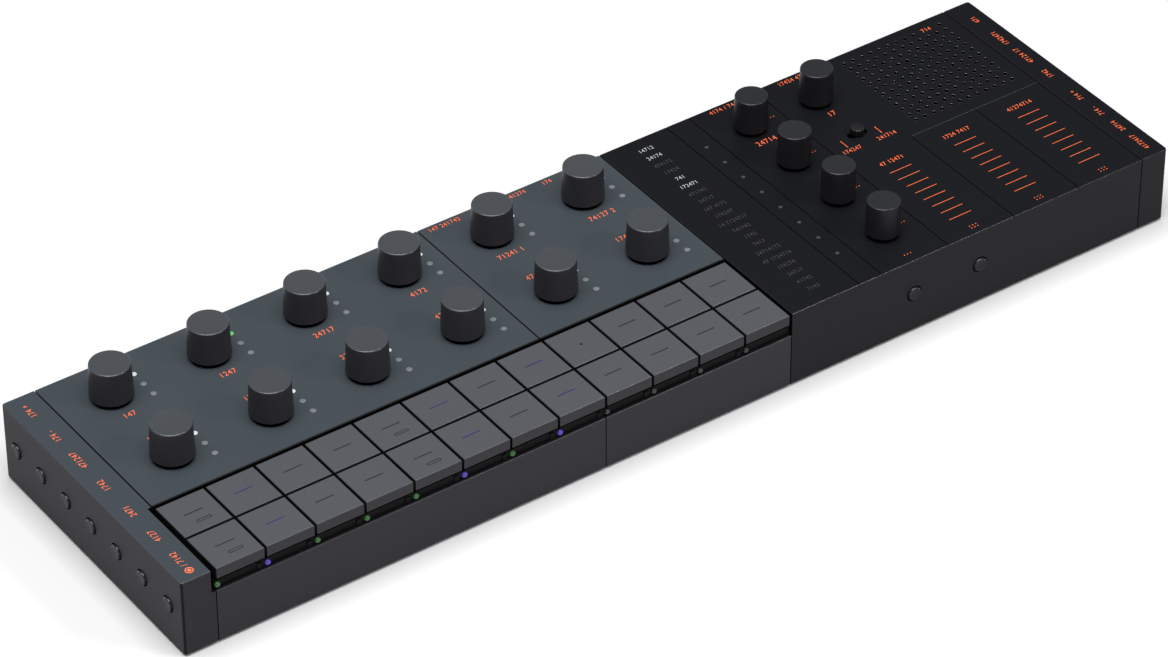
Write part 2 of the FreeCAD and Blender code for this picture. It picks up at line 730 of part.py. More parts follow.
def left_block():
    """Block open towards the drum panel; its side wall and floor close the key well."""
    width = CELL.left_block - half_seam
    wall = CELL.shell_wall
    beyond = width + wall
    well_edge = width - CELL.well_side
    well = box("left_well", (well_edge, -wall, well_floor_top), (beyond, well_depth, case_height + wall))
    body = cut("left_body", end_block("left", width, 0, left_block_bosses), [well])
    rooms = [
        box("left_room_low", (wall, wall, -wall), (beyond, case_depth - wall, well_floor_bottom)),
        box("left_room_rear", (wall, well_depth + wall, well_floor_bottom - wall),
            (beyond, case_depth - wall, panel_bottom)),
        box("left_room_front", (wall, wall, well_floor_bottom - wall),
            (well_edge - wall, well_depth + wall * 2, panel_bottom)),
    ]
    shell = cut("left_shell", body, [fuse("left_rooms", rooms)])
    posts = [boss(f"left_boss_{i}", x, y, panel_bottom + wall / 2)
             for i, (x, y) in enumerate(left_block_bosses)]
    holes = [boss_hole(f"left_screw_hole_{i}", x, y) for i, (x, y) in enumerate(left_block_bosses)]
    holes += [button_hole(f"left_button_hole_{i}", ZERO, y, "-x")
              for i, y in enumerate(left_button_rows)]
    return cut("left_end_block", fuse("left_solid", [shell] + posts), holes)


def right_block():
    """Block open towards the effects panel, with the sockets' openings."""
    width = CELL.right_block - half_seam
    wall = CELL.shell_wall
    start = case_length - width
    body = end_block("right", width, 1, right_block_bosses)
    room = box("right_room", (start - wall, wall, -wall),
               (case_length - wall, case_depth - wall, panel_bottom))
    shell = cut("right_shell", body, [room])
    posts = [boss(f"right_boss_{i}", x, y, panel_bottom + wall / 2)
             for i, (x, y) in enumerate(right_block_bosses)]
    holes = [boss_hole(f"right_screw_hole_{i}", x, y) for i, (x, y) in enumerate(right_block_bosses)]
    holes += [button_hole(f"right_button_hole_{i}", case_length, y, "+x")
              for i, y in enumerate(right_button_rows)]
    inner = case_length - wall * 2
    holes += [rod(f"jack_hole_{i}", (inner, y, jack_axis), CELL.jack_nose + CELL.socket_gap, wall * 3, "+x")
              for i, y in enumerate(jack_rows)]
    half_width = CELL.usb_width / 2 + CELL.socket_gap
    half_height = CELL.usb_height / 2 + CELL.socket_gap
    holes.append(box("usb_hole", (inner, usb_row - half_width, usb_axis - half_height),
                     (case_length + wall, usb_row + half_width, usb_axis + half_height)))
    return cut("right_end_block", fuse("right_solid", [shell] + posts), holes)


piece("left_end_block", left_block())
piece("right_end_block", right_block())


# Tray, feet and screws

standoff_places = []
standoff_span = case_length - CELL.foot_inset_x * 2
for number in range(count(CELL.standoff_count)):
    x = CELL.foot_inset_x + standoff_span * number / (CELL.standoff_count - 1)
    standoff_places += [(x, CELL.standoff_inset), (x, case_depth - CELL.standoff_inset)]


def base_tray():
    """Floor with a rim inside the covers, stand-offs for the board and counterbored screw holes."""
    outer = box("tray_block", (inner_left, inner_front, ZERO),
                (inner_right, inner_rear, CELL.tray_floor + CELL.tray_rim_rise))
    rim = CELL.tray_rim
    room = box("tray_room", (inner_left + rim, inner_front + rim, CELL.tray_floor),
               (inner_right - rim, inner_rear - rim, case_height))
    posts = [rod(f"standoff_{i}", (x, y, CELL.tray_floor / 2), CELL.standoff_radius,
                 CELL.tray_floor / 2 + CELL.board_lift)
             for i, (x, y) in enumerate(standoff_places)]
    solid = fuse("tray_solid", [cut("tray_shell", outer, [room])] + posts)
    holes = []
    for i, (x, y) in enumerate(all_bosses):
        shank = rod(f"tray_shank_hole_{i}", (x, y, -CELL.tray_floor),
                    CELL.screw_radius + CELL.screw_gap, CELL.tray_floor * 3)
        head = rod(f"tray_head_hole_{i}", (x, y, -CELL.tray_floor),
                   CELL.screw_head + CELL.screw_gap, CELL.tray_floor + CELL.screw_head_height)
        holes.append(fuse(f"tray_screw_hole_{i}", [shank, head]))
    return cut("base_tray", solid, holes)


piece("base_tray", base_tray())

foot = turned("foot_disc", [
    (ZERO, ZERO),
    (CELL.foot_radius - CELL.foot_bevel, ZERO),
    (CELL.foot_radius, CELL.foot_bevel),
    (CELL.foot_radius, CELL.foot_height),
    (ZERO, CELL.foot_height),
])
foot_places = [
    (x, y)
    for x in (CELL.foot_inset_x, case_length - CELL.foot_inset_x)
    for y in (CELL.foot_inset_y, case_depth - CELL.foot_inset_y)
]
piece("rubber_feet", group("rubber_feet", [
    copy(f"foot_{i}", foot, x, y, -CELL.foot_height) for i, (x, y) in enumerate(foot_places)
]))

case_screw = turned("case_screw", [
    (CELL.screw_socket, ZERO),
    (CELL.screw_head, ZERO),
    (CELL.screw_head, CELL.screw_head_height),
    (CELL.screw_radius, CELL.screw_head_height),
    (CELL.screw_radius, CELL.screw_head_height + CELL.screw_length),
    (ZERO, CELL.screw_head_height + CELL.screw_length),
    (ZERO, CELL.screw_socket_depth),
    (CELL.screw_socket, CELL.screw_socket_depth),
])
piece("case_screws", group("case_screws", [
    copy(f"screw_{i}", case_screw, x, y, ZERO) for i, (x, y) in enumerate(all_bosses)
]))


# Circuit board with its soldered switches

def key_switches():
    """A square switch with a round plunger below each key."""
    switches = []
    half = CELL.key_switch_side / 2
    for row, column in key_places:
        x, y = key_centre(row, column)
        case = box(f"switch_case_{row}_{column}", (x - half, y - half, board_top),
                   (x + half, y + half, board_top + CELL.key_switch_body))
        plunger = rod(f"switch_plunger_{row}_{column}", (x, y, board_top + CELL.key_switch_body / 2),
                      CELL.key_switch_cap_radius, CELL.key_switch_body / 2 + CELL.key_switch_cap)
        switches.append(fuse(f"key_switch_{row}_{column}", [case, plunger]))
    return switches


def button_reach(travel):
    """Distance from a wall's outer face to the inner side of a pressed button's flange."""
    return CELL.shell_wall + CELL.button_flange_gap + CELL.button_flange_height + travel


def plunger_end(travel):
    """Distance from a wall's outer face to the switch behind a side button."""
    return button_reach(travel) + CELL.button_stem_length + CELL.press_slack


def side_switch(name, x, y, way):
    """Side-push switch: the place is on the wall's outer face, the way points out of the wall."""
    half = CELL.side_switch_width / 2
    travel = CELL.end_button_travel if way in ("-x", "+x") else CELL.front_button_travel
    near_side = plunger_end(travel)
    far_side = near_side + CELL.side_switch_depth
    spans = {
        "-x": ((x + near_side, y - half), (x + far_side, y + half)),
        "+x": ((x - far_side, y - half), (x - near_side, y + half)),
        "-y": ((x - half, y + near_side), (x + half, y + far_side)),
        "+y": ((x - half, y - far_side), (x + half, y - near_side)),
    }
    low, high = spans[way]
    return box(name, (*low, board_top), (*high, board_top + CELL.side_switch_height))


button_walls = (
    [("left", ZERO, y, "-x") for y in left_button_rows]
    + [("right", case_length, y, "+x") for y in right_button_rows]
    + [("front", x, ZERO, "-y") for x in effects_buttons]
    + [("rear", x, case_depth, "+y") for x in synth_rear_buttons + effects_buttons]
)

foot_top = panel_bottom - CELL.switch_foot_gap
foot_bottom = foot_top - CELL.switch_foot_height


def slide_switch_body():
    """Tall switch body on the board, below the slide switch's carriage."""
    half_length = CELL.switch_foot_length / 2
    half_width = CELL.switch_foot_width / 2
    return box("slide_switch_body",
               (effects_knob_x - half_length, CELL.switch_row - half_width, board_top),
               (effects_knob_x + half_length, CELL.switch_row + half_width,
                foot_bottom - CELL.switch_foot_gap))


def bare_board():
    """Board on the stand-offs, cleared round the bosses."""
    rim = CELL.tray_rim + CELL.board_gap
    bottom = CELL.tray_floor + CELL.board_lift
    board_left = CELL.left_block - CELL.board_overhang
    plate = box("board_plate", (board_left, inner_front + rim, bottom),
                (case_length - button_reach(CELL.end_button_travel) - CELL.board_gap, inner_rear - rim,
                 board_top))
    ears = [box(f"board_ear_{i}", (plunger_end(CELL.end_button_travel), y - CELL.side_switch_width / 2,
                                   bottom), (board_left + rim, y + CELL.side_switch_width / 2, board_top))
            for i, y in enumerate(left_button_rows)]
    clear = CELL.boss_radius + CELL.board_gap
    holes = [rod(f"board_hole_{i}", (x, y, bottom - CELL.board_thickness), clear,
                 CELL.board_thickness * 3)
             for i, (x, y) in enumerate(all_bosses)]
    return cut("bare_board", fuse("board_solid", [plate] + ears), holes)


side_switches = [side_switch(f"{wall}_switch_{i}", x, y, way)
                 for i, (wall, x, y, way) in enumerate(button_walls)]
piece("main_board", group("main_board",
                          [bare_board()] + key_switches() + side_switches + [slide_switch_body()]))


# Encoders

bush_top = case_height - CELL.bush_drop
encoder_rise = bush_top - board_top


def encoder():
    """Square body with a bush, bored for the shaft."""
    half = CELL.encoder_side / 2
    body = box("encoder_case", (-half, -half, ZERO), (half, half, CELL.encoder_height), place_local)
    bush = rod("encoder_bush", (ZERO, ZERO, CELL.encoder_height / 2), CELL.bush_radius,
               encoder_rise - CELL.encoder_height / 2, put=place_local)
    bore = rod("encoder_bore", (ZERO, ZERO, CELL.encoder_floor),
               CELL.shaft_radius + CELL.shaft_clearance, encoder_rise, put=place_local)
    return cut("encoder", fuse("encoder_solid", [body, bush]), [bore])


track_knobs = [(knob_x(column), y) for y in knob_rows for column in range(count(columns) // 2)]
one_encoder = encoder()
piece("rotary_encoders", group("rotary_encoders", [
    copy(f"encoder_{i}", one_encoder, x, y, board_top)
    for i, (x, y) in enumerate(track_knobs + effects_knobs)
]))


# Knobs, each with the shaft that it turns

def knob_master(name, top_radius, base_radius):
    """Hollow tapered cap with a boss for the shaft; its height 0 is the bottom of its skirt."""
    height = CELL.knob_height - CELL.knob_lift
    bevel = CELL.knob_round
    ceiling = height - CELL.knob_top_wall
    bore = CELL.shaft_radius + CELL.shaft_grip
    boss_outer = bore + CELL.boss_wall
    cap = turned(f"{name}_cap", [
        (bore, ZERO),
        (boss_outer, ZERO),
        (boss_outer, ceiling),
        (top_radius - CELL.knob_wall, ceiling),
        (base_radius - CELL.knob_wall, ZERO),
        (base_radius, ZERO),
        (top_radius, height - bevel),
        (top_radius - bevel, height),
        (ZERO, height),
        (ZERO, ceiling),
        (bore, ceiling),
    ])
    skirt_above_board = case_height + CELL.knob_lift - board_top
    shaft_bottom = CELL.encoder_height - CELL.shaft_depth - skirt_above_board
    shaft = rod(f"{name}_shaft", (ZERO, ZERO, shaft_bottom), CELL.shaft_radius,
                ceiling - shaft_bottom - CELL.shaft_grip, put=place_local)
    return [cap, shaft]


def knob(name, master, x, y):
    item = group(name, master)
    return piece(name, place(item, x, y, case_height + CELL.knob_lift))


track_master = knob_master("track_knob", CELL.track_knob_top, CELL.track_knob_base)
slim_master = knob_master("slim_knob", CELL.slim_knob_top, CELL.slim_knob_base)
for number, (x, y) in enumerate(track_knobs, start=1):
    knob(f"track_knob_{number}", track_master, x, y)
for number, (x, y) in enumerate(slim_knobs, start=1):
    knob(f"sound_knob_{number}", slim_master, x, y)
knob("effects_knob", slim_master, *effects_knobs[-1])


# Keys

key_width = CELL.key_pitch - CELL.key_gap


def centred_box(name, width, depth, bottom, top):
    """Box centred on its piece's own Z axis."""
    return box(name, (-width / 2, -depth / 2, bottom), (width / 2, depth / 2, top), place_local)


def key_master():
    """Cap with an inner rib and a hooked stem; its height 0 is the case's bottom."""
    half_width = key_width / 2
    half_depth = CELL.key_depth / 2
    cap = extruded("key_cap", "XY_Plane", [
        (-half_width, -half_depth),
        (half_width, -half_depth),
        (half_width, half_depth),
        (-half_width, half_depth),
    ], CELL.key_thickness)
    soften(cap, "key_edges", CELL.edge_round,
           lambda b: near(b.ZMin, CELL.key_thickness) and near(b.ZMax, CELL.key_thickness))
    place_local(cap, ZERO, ZERO, key_bottom)
    inset = CELL.key_rib_inset * 2
    room = inset + CELL.key_rib * 2
    rib_bottom = well_floor_top + CELL.key_travel + CELL.key_slack
    ceiling = case_height - CELL.key_web
    rib = centred_box("key_rib", key_width - inset, CELL.key_depth - inset, rib_bottom, ceiling)
    inside = centred_box("key_room", key_width - room, CELL.key_depth - room,
                         rib_bottom - CELL.key_rib, ceiling)
    shell = cut("key_shell", fuse("key_block", [cap, rib]), [inside])
    stem = centred_box("key_stem", CELL.key_stem, CELL.key_stem, hook_bottom, case_height - CELL.key_web / 2)
    hook_width = stem_hole + CELL.key_hook_reach * 2
    hook = centred_box("key_hook", hook_width, CELL.key_stem, hook_bottom, hook_top)
    return fuse("key_solid", [shell, stem, hook])


one_key = key_master()
for row, column in key_places:
    x, y = key_centre(row, column)
    name = f"key_{('front', 'rear')[row]}_{column + 1}"
    piece(name, copy(name, one_key, x, y, ZERO))


# Side buttons, one group for each wall

def button_master(name, proud):
    """Round button with a flange and a stem; its height 0 is the wall's outer face."""
    flange_top = -CELL.shell_wall - CELL.button_flange_gap
    flange_bottom = flange_top - CELL.button_flange_height
    stem_bottom = flange_bottom - CELL.button_stem_length
    radius = CELL.button_radius
    bevel = CELL.button_bevel
    return turned(name, [
        (ZERO, stem_bottom),
        (CELL.button_stem, stem_bottom),
        (CELL.button_stem, flange_bottom),
        (radius + CELL.button_flange, flange_bottom),
        (radius + CELL.button_flange, flange_top),
        (radius, flange_top),
        (radius, proud - bevel),
        (radius - bevel, proud),
        (ZERO, proud),
    ])


end_button = button_master("end_button", CELL.end_button_proud)
front_button = button_master("front_button", CELL.front_button_proud)
for wall in ("left", "right", "front", "rear"):
    master = end_button if wall in ("left", "right") else front_button
    buttons = [copy(f"{wall}_button_{i}", master, x, y, button_axis, way)
               for i, (side, x, y, way) in enumerate(button_walls) if side == wall]
    piece(f"{wall}_buttons", group(f"{wall}_buttons", buttons))


# Slide switch cap and carriage

def mode_switch():
    """Round cap on a stem, on a carriage below the panel; it starts in the middle of its slot."""
    row = CELL.switch_row
    cap = rod("switch_cap", (effects_knob_x, row, case_height + CELL.switch_foot_gap), CELL.switch_cap,
              CELL.switch_cap_height - CELL.switch_foot_gap)
    stem = rod("switch_stem", (effects_knob_x, row, foot_bottom), CELL.switch_stem,
               case_height + CELL.switch_cap_height / 2 - foot_bottom)
    half_length = CELL.switch_foot_length / 2
    half_width = CELL.switch_foot_width / 2
    foot_plate = box("switch_foot", (effects_knob_x - half_length, row - half_width, foot_bottom),
                     (effects_knob_x + half_length, row + half_width, foot_top))
    return fuse("mode_switch", [cap, stem, foot_plate])


piece("mode_switch", mode_switch())


# Light pipes and the dark bar with the key lamps

def track_pipe():
    """Rod flush with the panel, with a flange against the panel's underside."""
    length = case_height - board_top - CELL.pipe_gap
    stem = rod("pipe_rod", (ZERO, ZERO, ZERO), CELL.track_lamp_radius, length, put=place_local)
    flange = rod("pipe_flange", (ZERO, ZERO, length - CELL.shell_wall - CELL.track_lamp_flange_height),
                 CELL.track_lamp_radius + CELL.track_lamp_flange, CELL.track_lamp_flange_height,
                 put=place_local)
    return fuse("track_pipe", [stem, flange])


one_pipe = track_pipe()
all_knob_columns = range(count(columns) // 2)
pipes = [copy(f"track_lamp_{i}", one_pipe, x, y, board_top + CELL.pipe_gap)
         for i, (x, y) in enumerate(lamp_places(all_knob_columns))]
bar_start = CELL.left_block - half_seam + CELL.hook_gap
bar_end = effects_seam - half_seam
bar_front = CELL.lamp_bar_inset
lamp_bar = box("lamp_bar", (bar_start, bar_front, well_floor_top),
               (bar_end, bar_front + CELL.lamp_bar_depth, lamp_bar_top))
key_lamps = [
    rod(f"key_lamp_{column}",
        (CELL.left_block + CELL.key_pitch * column + CELL.key_lamp_shift, bar_front,
         well_floor_top + CELL.lamp_bar_height / 2),
        CELL.key_lamp_radius, CELL.key_lamp_proud, "-y")
    for column in range(count(columns))
]
piece("light_pipes", group("light_pipes", pipes + [lamp_bar] + key_lamps))


# Battery and loudspeaker

def battery():
    start = CELL.battery_from_left
    middle = case_depth / 2
    body = extruded("battery_pack", "XY_Plane", [
        (ZERO, ZERO),
        (CELL.battery_length, ZERO),
        (CELL.battery_length, CELL.battery_width),
        (ZERO, CELL.battery_width),
    ], CELL.battery_height)
    soften(body, "battery_edges", CELL.battery_round, lambda b: flat(b.XLength) and flat(b.YLength))
    return place(body, start, middle - CELL.battery_width / 2, CELL.tray_floor)


piece("battery_pack", battery())


def loudspeaker():
    """Basket with its magnet, and the cone inside it; the rim touches the panel's underside."""
    rim_bottom = -CELL.speaker_rim
    throat = rim_bottom - CELL.speaker_basket
    magnet_bottom = throat - CELL.speaker_magnet_height
    wall = CELL.speaker_wall
    outer = CELL.speaker_radius
    inner = outer - wall * 2
    basket = turned("speaker_basket", [
        (ZERO, magnet_bottom),
        (CELL.speaker_magnet, magnet_bottom),
        (CELL.speaker_magnet, throat),
        (CELL.speaker_throat, throat),
        (outer - wall, rim_bottom),
        (outer, rim_bottom),
        (outer, ZERO),
        (inner, ZERO),
        (inner, rim_bottom),
        (CELL.speaker_throat, throat + wall),
        (ZERO, throat + wall),
    ])
    cone_bottom = throat + wall + CELL.cone_gap
    cone = turned("speaker_cone", [
        (ZERO, cone_bottom),
        (CELL.speaker_throat - CELL.cone_wall, cone_bottom),
        (inner - CELL.cone_gap, rim_bottom + CELL.cone_gap * 2),
        (inner - CELL.cone_gap, rim_bottom + CELL.cone_gap * 2 + CELL.cone_wall),
        (CELL.speaker_throat - CELL.cone_wall, cone_bottom + CELL.cone_wall),
        (ZERO, cone_bottom + CELL.cone_wall),
    ])
    item = group("speaker", [basket, cone])
    across = CELL.grille_pitch_x * (CELL.grille_holes - 1) / 2
    down = CELL.grille_pitch_y * (CELL.grille_holes - 1) / 2
    return place(item, grille_x + across, grille_y - down, panel_bottom)


piece("speaker", loudspeaker())


# Sockets at the right end

def jack(name, y):
    """Jack socket on the board, with a round nose through the wall and a blind bore."""
    half = CELL.jack_body_width / 2
    wall_inside = case_length - CELL.shell_wall - CELL.socket_gap
    body = box(f"{name}_body", (wall_inside - CELL.jack_body_length, y - half, board_top),
               (wall_inside, y + half, board_top + CELL.jack_body_width))
    nose = rod(f"{name}_nose", (wall_inside - CELL.shell_wall, y, jack_axis), CELL.jack_nose,
               case_length - wall_inside + CELL.shell_wall, "+x")
    bore = rod(f"{name}_bore", (case_length - CELL.jack_bore_depth, y, jack_axis), CELL.jack_bore,
               CELL.jack_bore_depth + CELL.shell_wall, "+x")
    return cut(name, fuse(f"{name}_solid", [body, nose]), [bore])


def usb_socket():
    """Flat shell on the board with a tongue inside."""
    half_width = CELL.usb_width / 2
    wall = CELL.usb_wall
    start = case_length - CELL.usb_length
    top = board_top + CELL.usb_height
    shell = box("usb_shell", (start, usb_row - half_width, board_top), (case_length, usb_row + half_width, top))
    room = box("usb_room", (start + wall, usb_row - half_width + wall, board_top + wall),
               (case_length + wall, usb_row + half_width - wall, top - wall))
    half_tongue = CELL.usb_tongue_width / 2
    half_thick = CELL.usb_tongue / 2
    tongue = box("usb_tongue", (start + wall / 2, usb_row - half_tongue, usb_axis - half_thick),
                 (start + wall + CELL.usb_tongue_length, usb_row + half_tongue, usb_axis + half_thick))
    return fuse("usb_socket", [cut("usb_case", shell, [room]), tongue])


piece("sockets", group("sockets", [usb_socket()] + [jack(f"jack_{i}", y) for i, y in enumerate(jack_rows)]))


doc.recompute()

faults = [item.Name for item in doc.Objects if {"Invalid", "Error"} & set(item.State)]
for item in pieces:
    if item.Shape.isNull() or not item.Shape.isValid():
        faults.append(item.Label)
if faults:
    raise RuntimeError(f"failed objects: {faults}")

os.makedirs("parts", exist_ok=True)
for item in pieces:
    item.Shape.exportStep(f"parts/{item.Label}.step")
print(len(pieces), "sub-parts")
print("case", float(case_length), float(case_depth), float(case_height))
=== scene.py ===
"""Finish of a long tabletop drum machine: knobs, buttons, lamps, printing, paint, light and camera.

Shapes are worked out in millimetres from the case's front left bottom corner, X right, Y back and
Z up, and are put into the frame, in metres, as each piece is made."""

import math

import bmesh
import bpy
import numpy as np
from mathutils import Matrix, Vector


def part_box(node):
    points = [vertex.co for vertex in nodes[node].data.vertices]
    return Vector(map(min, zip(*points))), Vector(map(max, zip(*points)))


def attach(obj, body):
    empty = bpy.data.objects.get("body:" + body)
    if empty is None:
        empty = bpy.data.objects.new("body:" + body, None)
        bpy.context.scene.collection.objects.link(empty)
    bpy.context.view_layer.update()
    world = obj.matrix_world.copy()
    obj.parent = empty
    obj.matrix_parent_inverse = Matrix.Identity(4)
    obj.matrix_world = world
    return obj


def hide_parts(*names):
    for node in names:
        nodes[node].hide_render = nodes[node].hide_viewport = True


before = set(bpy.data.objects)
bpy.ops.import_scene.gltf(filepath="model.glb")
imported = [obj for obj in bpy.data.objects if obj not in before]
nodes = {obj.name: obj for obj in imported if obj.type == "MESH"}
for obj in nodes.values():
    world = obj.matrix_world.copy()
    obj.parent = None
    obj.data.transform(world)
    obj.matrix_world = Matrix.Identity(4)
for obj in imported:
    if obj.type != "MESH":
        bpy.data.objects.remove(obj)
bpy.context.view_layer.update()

MM = 0.001
CORNER = np.array(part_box("left_end_block")[0])
LENGTH, DEPTH, PANEL = (np.array(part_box("right_end_block")[1]) - CORNER) / MM
DRUM_SEAM, SYNTH_SEAM, EFFECTS_SEAM = 10.7, 138.7, 203.2
KEY_PITCH = 16.0
KEY_COLUMNS = 12
WELL_FLOOR = 17.4
WELL_REAR = 32.1
BOARD_PARTS = 10.4
KNOB_LIFT = 1.4
BUTTON_RADIUS = 2.2
BUTTON_PROUD = 0.6
INK = 0.03


def in_frame(points):
    """Millimetres from the case's corner become metres of the frame."""
    return CORNER + np.asarray(points, float) * MM


def node_span(node):
    """Lowest and highest corner of a node, in millimetres from the case's corner."""
    low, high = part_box(node)
    return (np.array(low) - CORNER) / MM, (np.array(high) - CORNER) / MM


def node_middle(node):
    """Middle of a node's box, in millimetres from the case's corner."""
    low, high = node_span(node)
    return (low + high) / 2


# Shapes: each is (points, faces), where faces is a list of blocks of equal corner counts


def lathe(profile, sides=64):
    """Surface of turning: the point of (r, h) at angle a is (r cos a, r sin a, h).
    The first and last points of the profile lie on the axis and are one point each."""
    profile = np.asarray(profile, float)
    angle = np.arange(sides) * (2 * np.pi / sides)
    rings = profile[1:-1]
    x = rings[:, :1] * np.cos(angle)
    y = rings[:, :1] * np.sin(angle)
    z = np.repeat(rings[:, 1:], sides, axis=1)
    ends = [[0, 0, profile[0, 1]], [0, 0, profile[-1, 1]]]
    points = np.vstack([np.stack([x, y, z], -1).reshape(-1, 3), ends])
    row = np.arange(len(rings) - 1)[:, None] * sides
    here = np.arange(sides)[None, :]
    after = (here + 1) % sides
    quads = np.stack([row + here, row + after, row + sides + after, row + sides + here], -1)
    low, high = len(points) - 2, len(points) - 1
    last = (len(rings) - 1) * sides
    low_fan = np.stack([np.full(sides, low), after[0], here[0]], -1)
    high_fan = np.stack([np.full(sides, high), last + here[0], last + after[0]], -1)
    return points, [quads.reshape(-1, 4), np.vstack([low_fan, high_fan])]


def hoop(profile, sides=48):
    """Ring: a closed loop of (r, h) points, run anticlockwise, turned about the axis."""
    profile = np.asarray(profile, float)
    angle = np.arange(sides) * (2 * np.pi / sides)
    x = profile[:, :1] * np.cos(angle)
    y = profile[:, :1] * np.sin(angle)
    z = np.repeat(profile[:, 1:], sides, axis=1)
    points = np.stack([x, y, z], -1).reshape(-1, 3)
    row = np.arange(len(profile))[:, None] * sides
    above = (row + sides) % len(points)
    here = np.arange(sides)[None, :]
    after = (here + 1) % sides
    quads = np.stack([row + here, row + after, above + after, above + here], -1)
    return points, [quads.reshape(-1, 4)]


def prism(outline, low, high):
    """Plate: an anticlockwise outline at two heights, closed by two faces and a band."""
    outline = np.asarray(outline, float)
    count = len(outline)
    heights = np.repeat([low, high], count)
    points = np.column_stack([np.tile(outline, (2, 1)), heights])
    here = np.arange(count)
    after = (here + 1) % count
    band = np.stack([here, after, after + count, here + count], -1)
    return points, [here[::-1][None, :], (here + count)[None, :], band]


def flat_ring(outer, inner, low, high):
    """Frame between two outlines with equally many points, at two heights."""
    count = len(outer)
    flat = np.vstack([outer, inner])
    points = np.column_stack([np.tile(flat, (2, 1)), np.repeat([low, high], 2 * count)])
    here = np.arange(count)
    after = (here + 1) % count
    top = 2 * count
    blocks = [
        np.stack([here + top, after + top, after + count + top, here + count + top], -1),
        np.stack([after, here, here + count, after + count], -1),
        np.stack([here, after, after + top, here + top], -1),
        np.stack([after + count, here + count, here + count + top, after + count + top], -1),
    ]
    return points, [np.vstack(blocks)]


def block(low, high):
    """Box between two corners."""
    (x0, y0, z0), (x1, y1, z1) = low, high
    return prism([(x0, y0), (x1, y0), (x1, y1), (x0, y1)], z0, z1)


def bar_outline(length, width, steps=5):
    """Bar with round ends: two half circles of the bar's half width, joined."""
    turn = np.linspace(-np.pi / 2, np.pi / 2, steps)
    half = width / 2
    end = np.stack([(length - width) / 2 + half * np.cos(turn), half * np.sin(turn)], -1)
    return np.vstack([end, -end])


def round_box_outline(length, width, radius, steps=4):
    """Rectangle whose corners are quarter circles."""
    turn = np.linspace(0, np.pi / 2, steps)
    corner = np.stack([np.cos(turn), np.sin(turn)], -1) * radius
    shift = np.array([length / 2 - radius, width / 2 - radius])
    quarter = corner + shift
    flip = quarter[::-1]
    return np.vstack([quarter, flip * (-1, 1), quarter * (-1, -1), flip * (1, -1)])


def arc(centre, radius, start, end, steps=5):
    """Points of a circle about a centre, from one angle to another in degrees."""
    turn = np.radians(np.linspace(start, end, steps))
    return np.stack([centre[0] + radius * np.cos(turn), centre[1] + radius * np.sin(turn)], -1)


def repeat(shape, places):
    """The same shape at many places, as one shape: its points plus each place."""
    points, blocks = shape
    places = np.asarray(places, float)
    step = np.arange(len(places)) * len(points)
    moved = (points[None] + places[:, None]).reshape(-1, 3)
    return moved, [(b[None] + step[:, None, None]).reshape(-1, b.shape[1]) for b in blocks]


def together(shapes):
    """Several shapes as one."""
    points = np.vstack([shape[0] for shape in shapes])
    starts = np.cumsum([0] + [len(shape[0]) for shape in shapes[:-1]])
    blocks = [b + start for shape, start in zip(shapes, starts) for b in shape[1]]
    return points, blocks


def aimed(shape, way):
    """A shape made along Z, turned so that its Z points along a side wall's way out."""
    points, blocks = shape
    x, y, z = points.T
    ways = {"-x": (-z, y, x), "+x": (z, y, -x), "-y": (x, -z, y), "+y": (-x, z, y)}
    return np.stack(ways[way], -1), blocks


def add_piece(name, shape, material, body, stands_for=(), crease=35):
    """Put a shape into the frame as a piece that rides on a body."""
    points, blocks = shape
    corners = np.concatenate([b.ravel() for b in blocks])
    sizes = np.concatenate([np.full(len(b), b.shape[1]) for b in blocks])
    mesh = bpy.data.meshes.new(name)
    mesh.vertices.add(len(points))
    mesh.vertices.foreach_set("co", in_frame(points).ravel())
    mesh.loops.add(len(corners))
    mesh.loops.foreach_set("vertex_index", corners)
    mesh.polygons.add(len(sizes))
    mesh.polygons.foreach_set("loop_start", np.cumsum(sizes) - sizes)
    mesh.update(calc_edges=True)
    mesh.polygons.foreach_set("use_smooth", np.ones(len(sizes), bool))
    mesh.set_sharp_from_angle(angle=math.radians(crease))
    mesh.materials.append(material)
    piece = bpy.data.objects.new(name, mesh)
    bpy.context.scene.collection.objects.link(piece)
    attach(piece, body)
    if stands_for:
        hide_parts(*stands_for)
    return piece


# Material building


def srgb(red, green, blue):
    """Linear colour of an 8 bit screen colour."""
    values = np.array([red, green, blue]) / 255
    linear = np.where(values <= 0.04045, values / 12.92, ((values + 0.055) / 1.055) ** 2.4)
    return (*linear.tolist(), 1.0)


def give(tree, socket, value):
    """Link a socket to a value that is another node's output, or else set it."""
    if isinstance(value, bpy.types.NodeSocket):
        tree.links.new(value, socket)
    else:
        socket.default_value = value


def noise(tree, scale, detail, roughness=0.5, vector=None):
    """Noise over the object's own coordinates, or over a vector that is given."""
    node = tree.nodes.new("ShaderNodeTexNoise")
    if vector is None:
        vector = tree.nodes.new("ShaderNodeTexCoord").outputs["Object"]
    give(tree, node.inputs["Vector"], vector)
    give(tree, node.inputs["Scale"], scale)
    give(tree, node.inputs["Detail"], detail)
    give(tree, node.inputs["Roughness"], roughness)
    return node.outputs["Fac"]


def ranged(tree, value, start, end, low, high):
    """Value whose span from start to end becomes low to high, and is held there."""
    node = tree.nodes.new("ShaderNodeMapRange")
    give(tree, node.inputs["Value"], value)
    for name, number in (("From Min", start), ("From Max", end), ("To Min", low), ("To Max", high)):
        node.inputs[name].default_value = number
    return node.outputs[0]


def reckoned(tree, operation, *values, clamp=False):
    """Result of one operation on numbers."""
    node = tree.nodes.new("ShaderNodeMath")
    node.operation = operation
    node.use_clamp = clamp
    for socket, value in zip(node.inputs, values):
        give(tree, socket, value)
    return node.outputs[0]


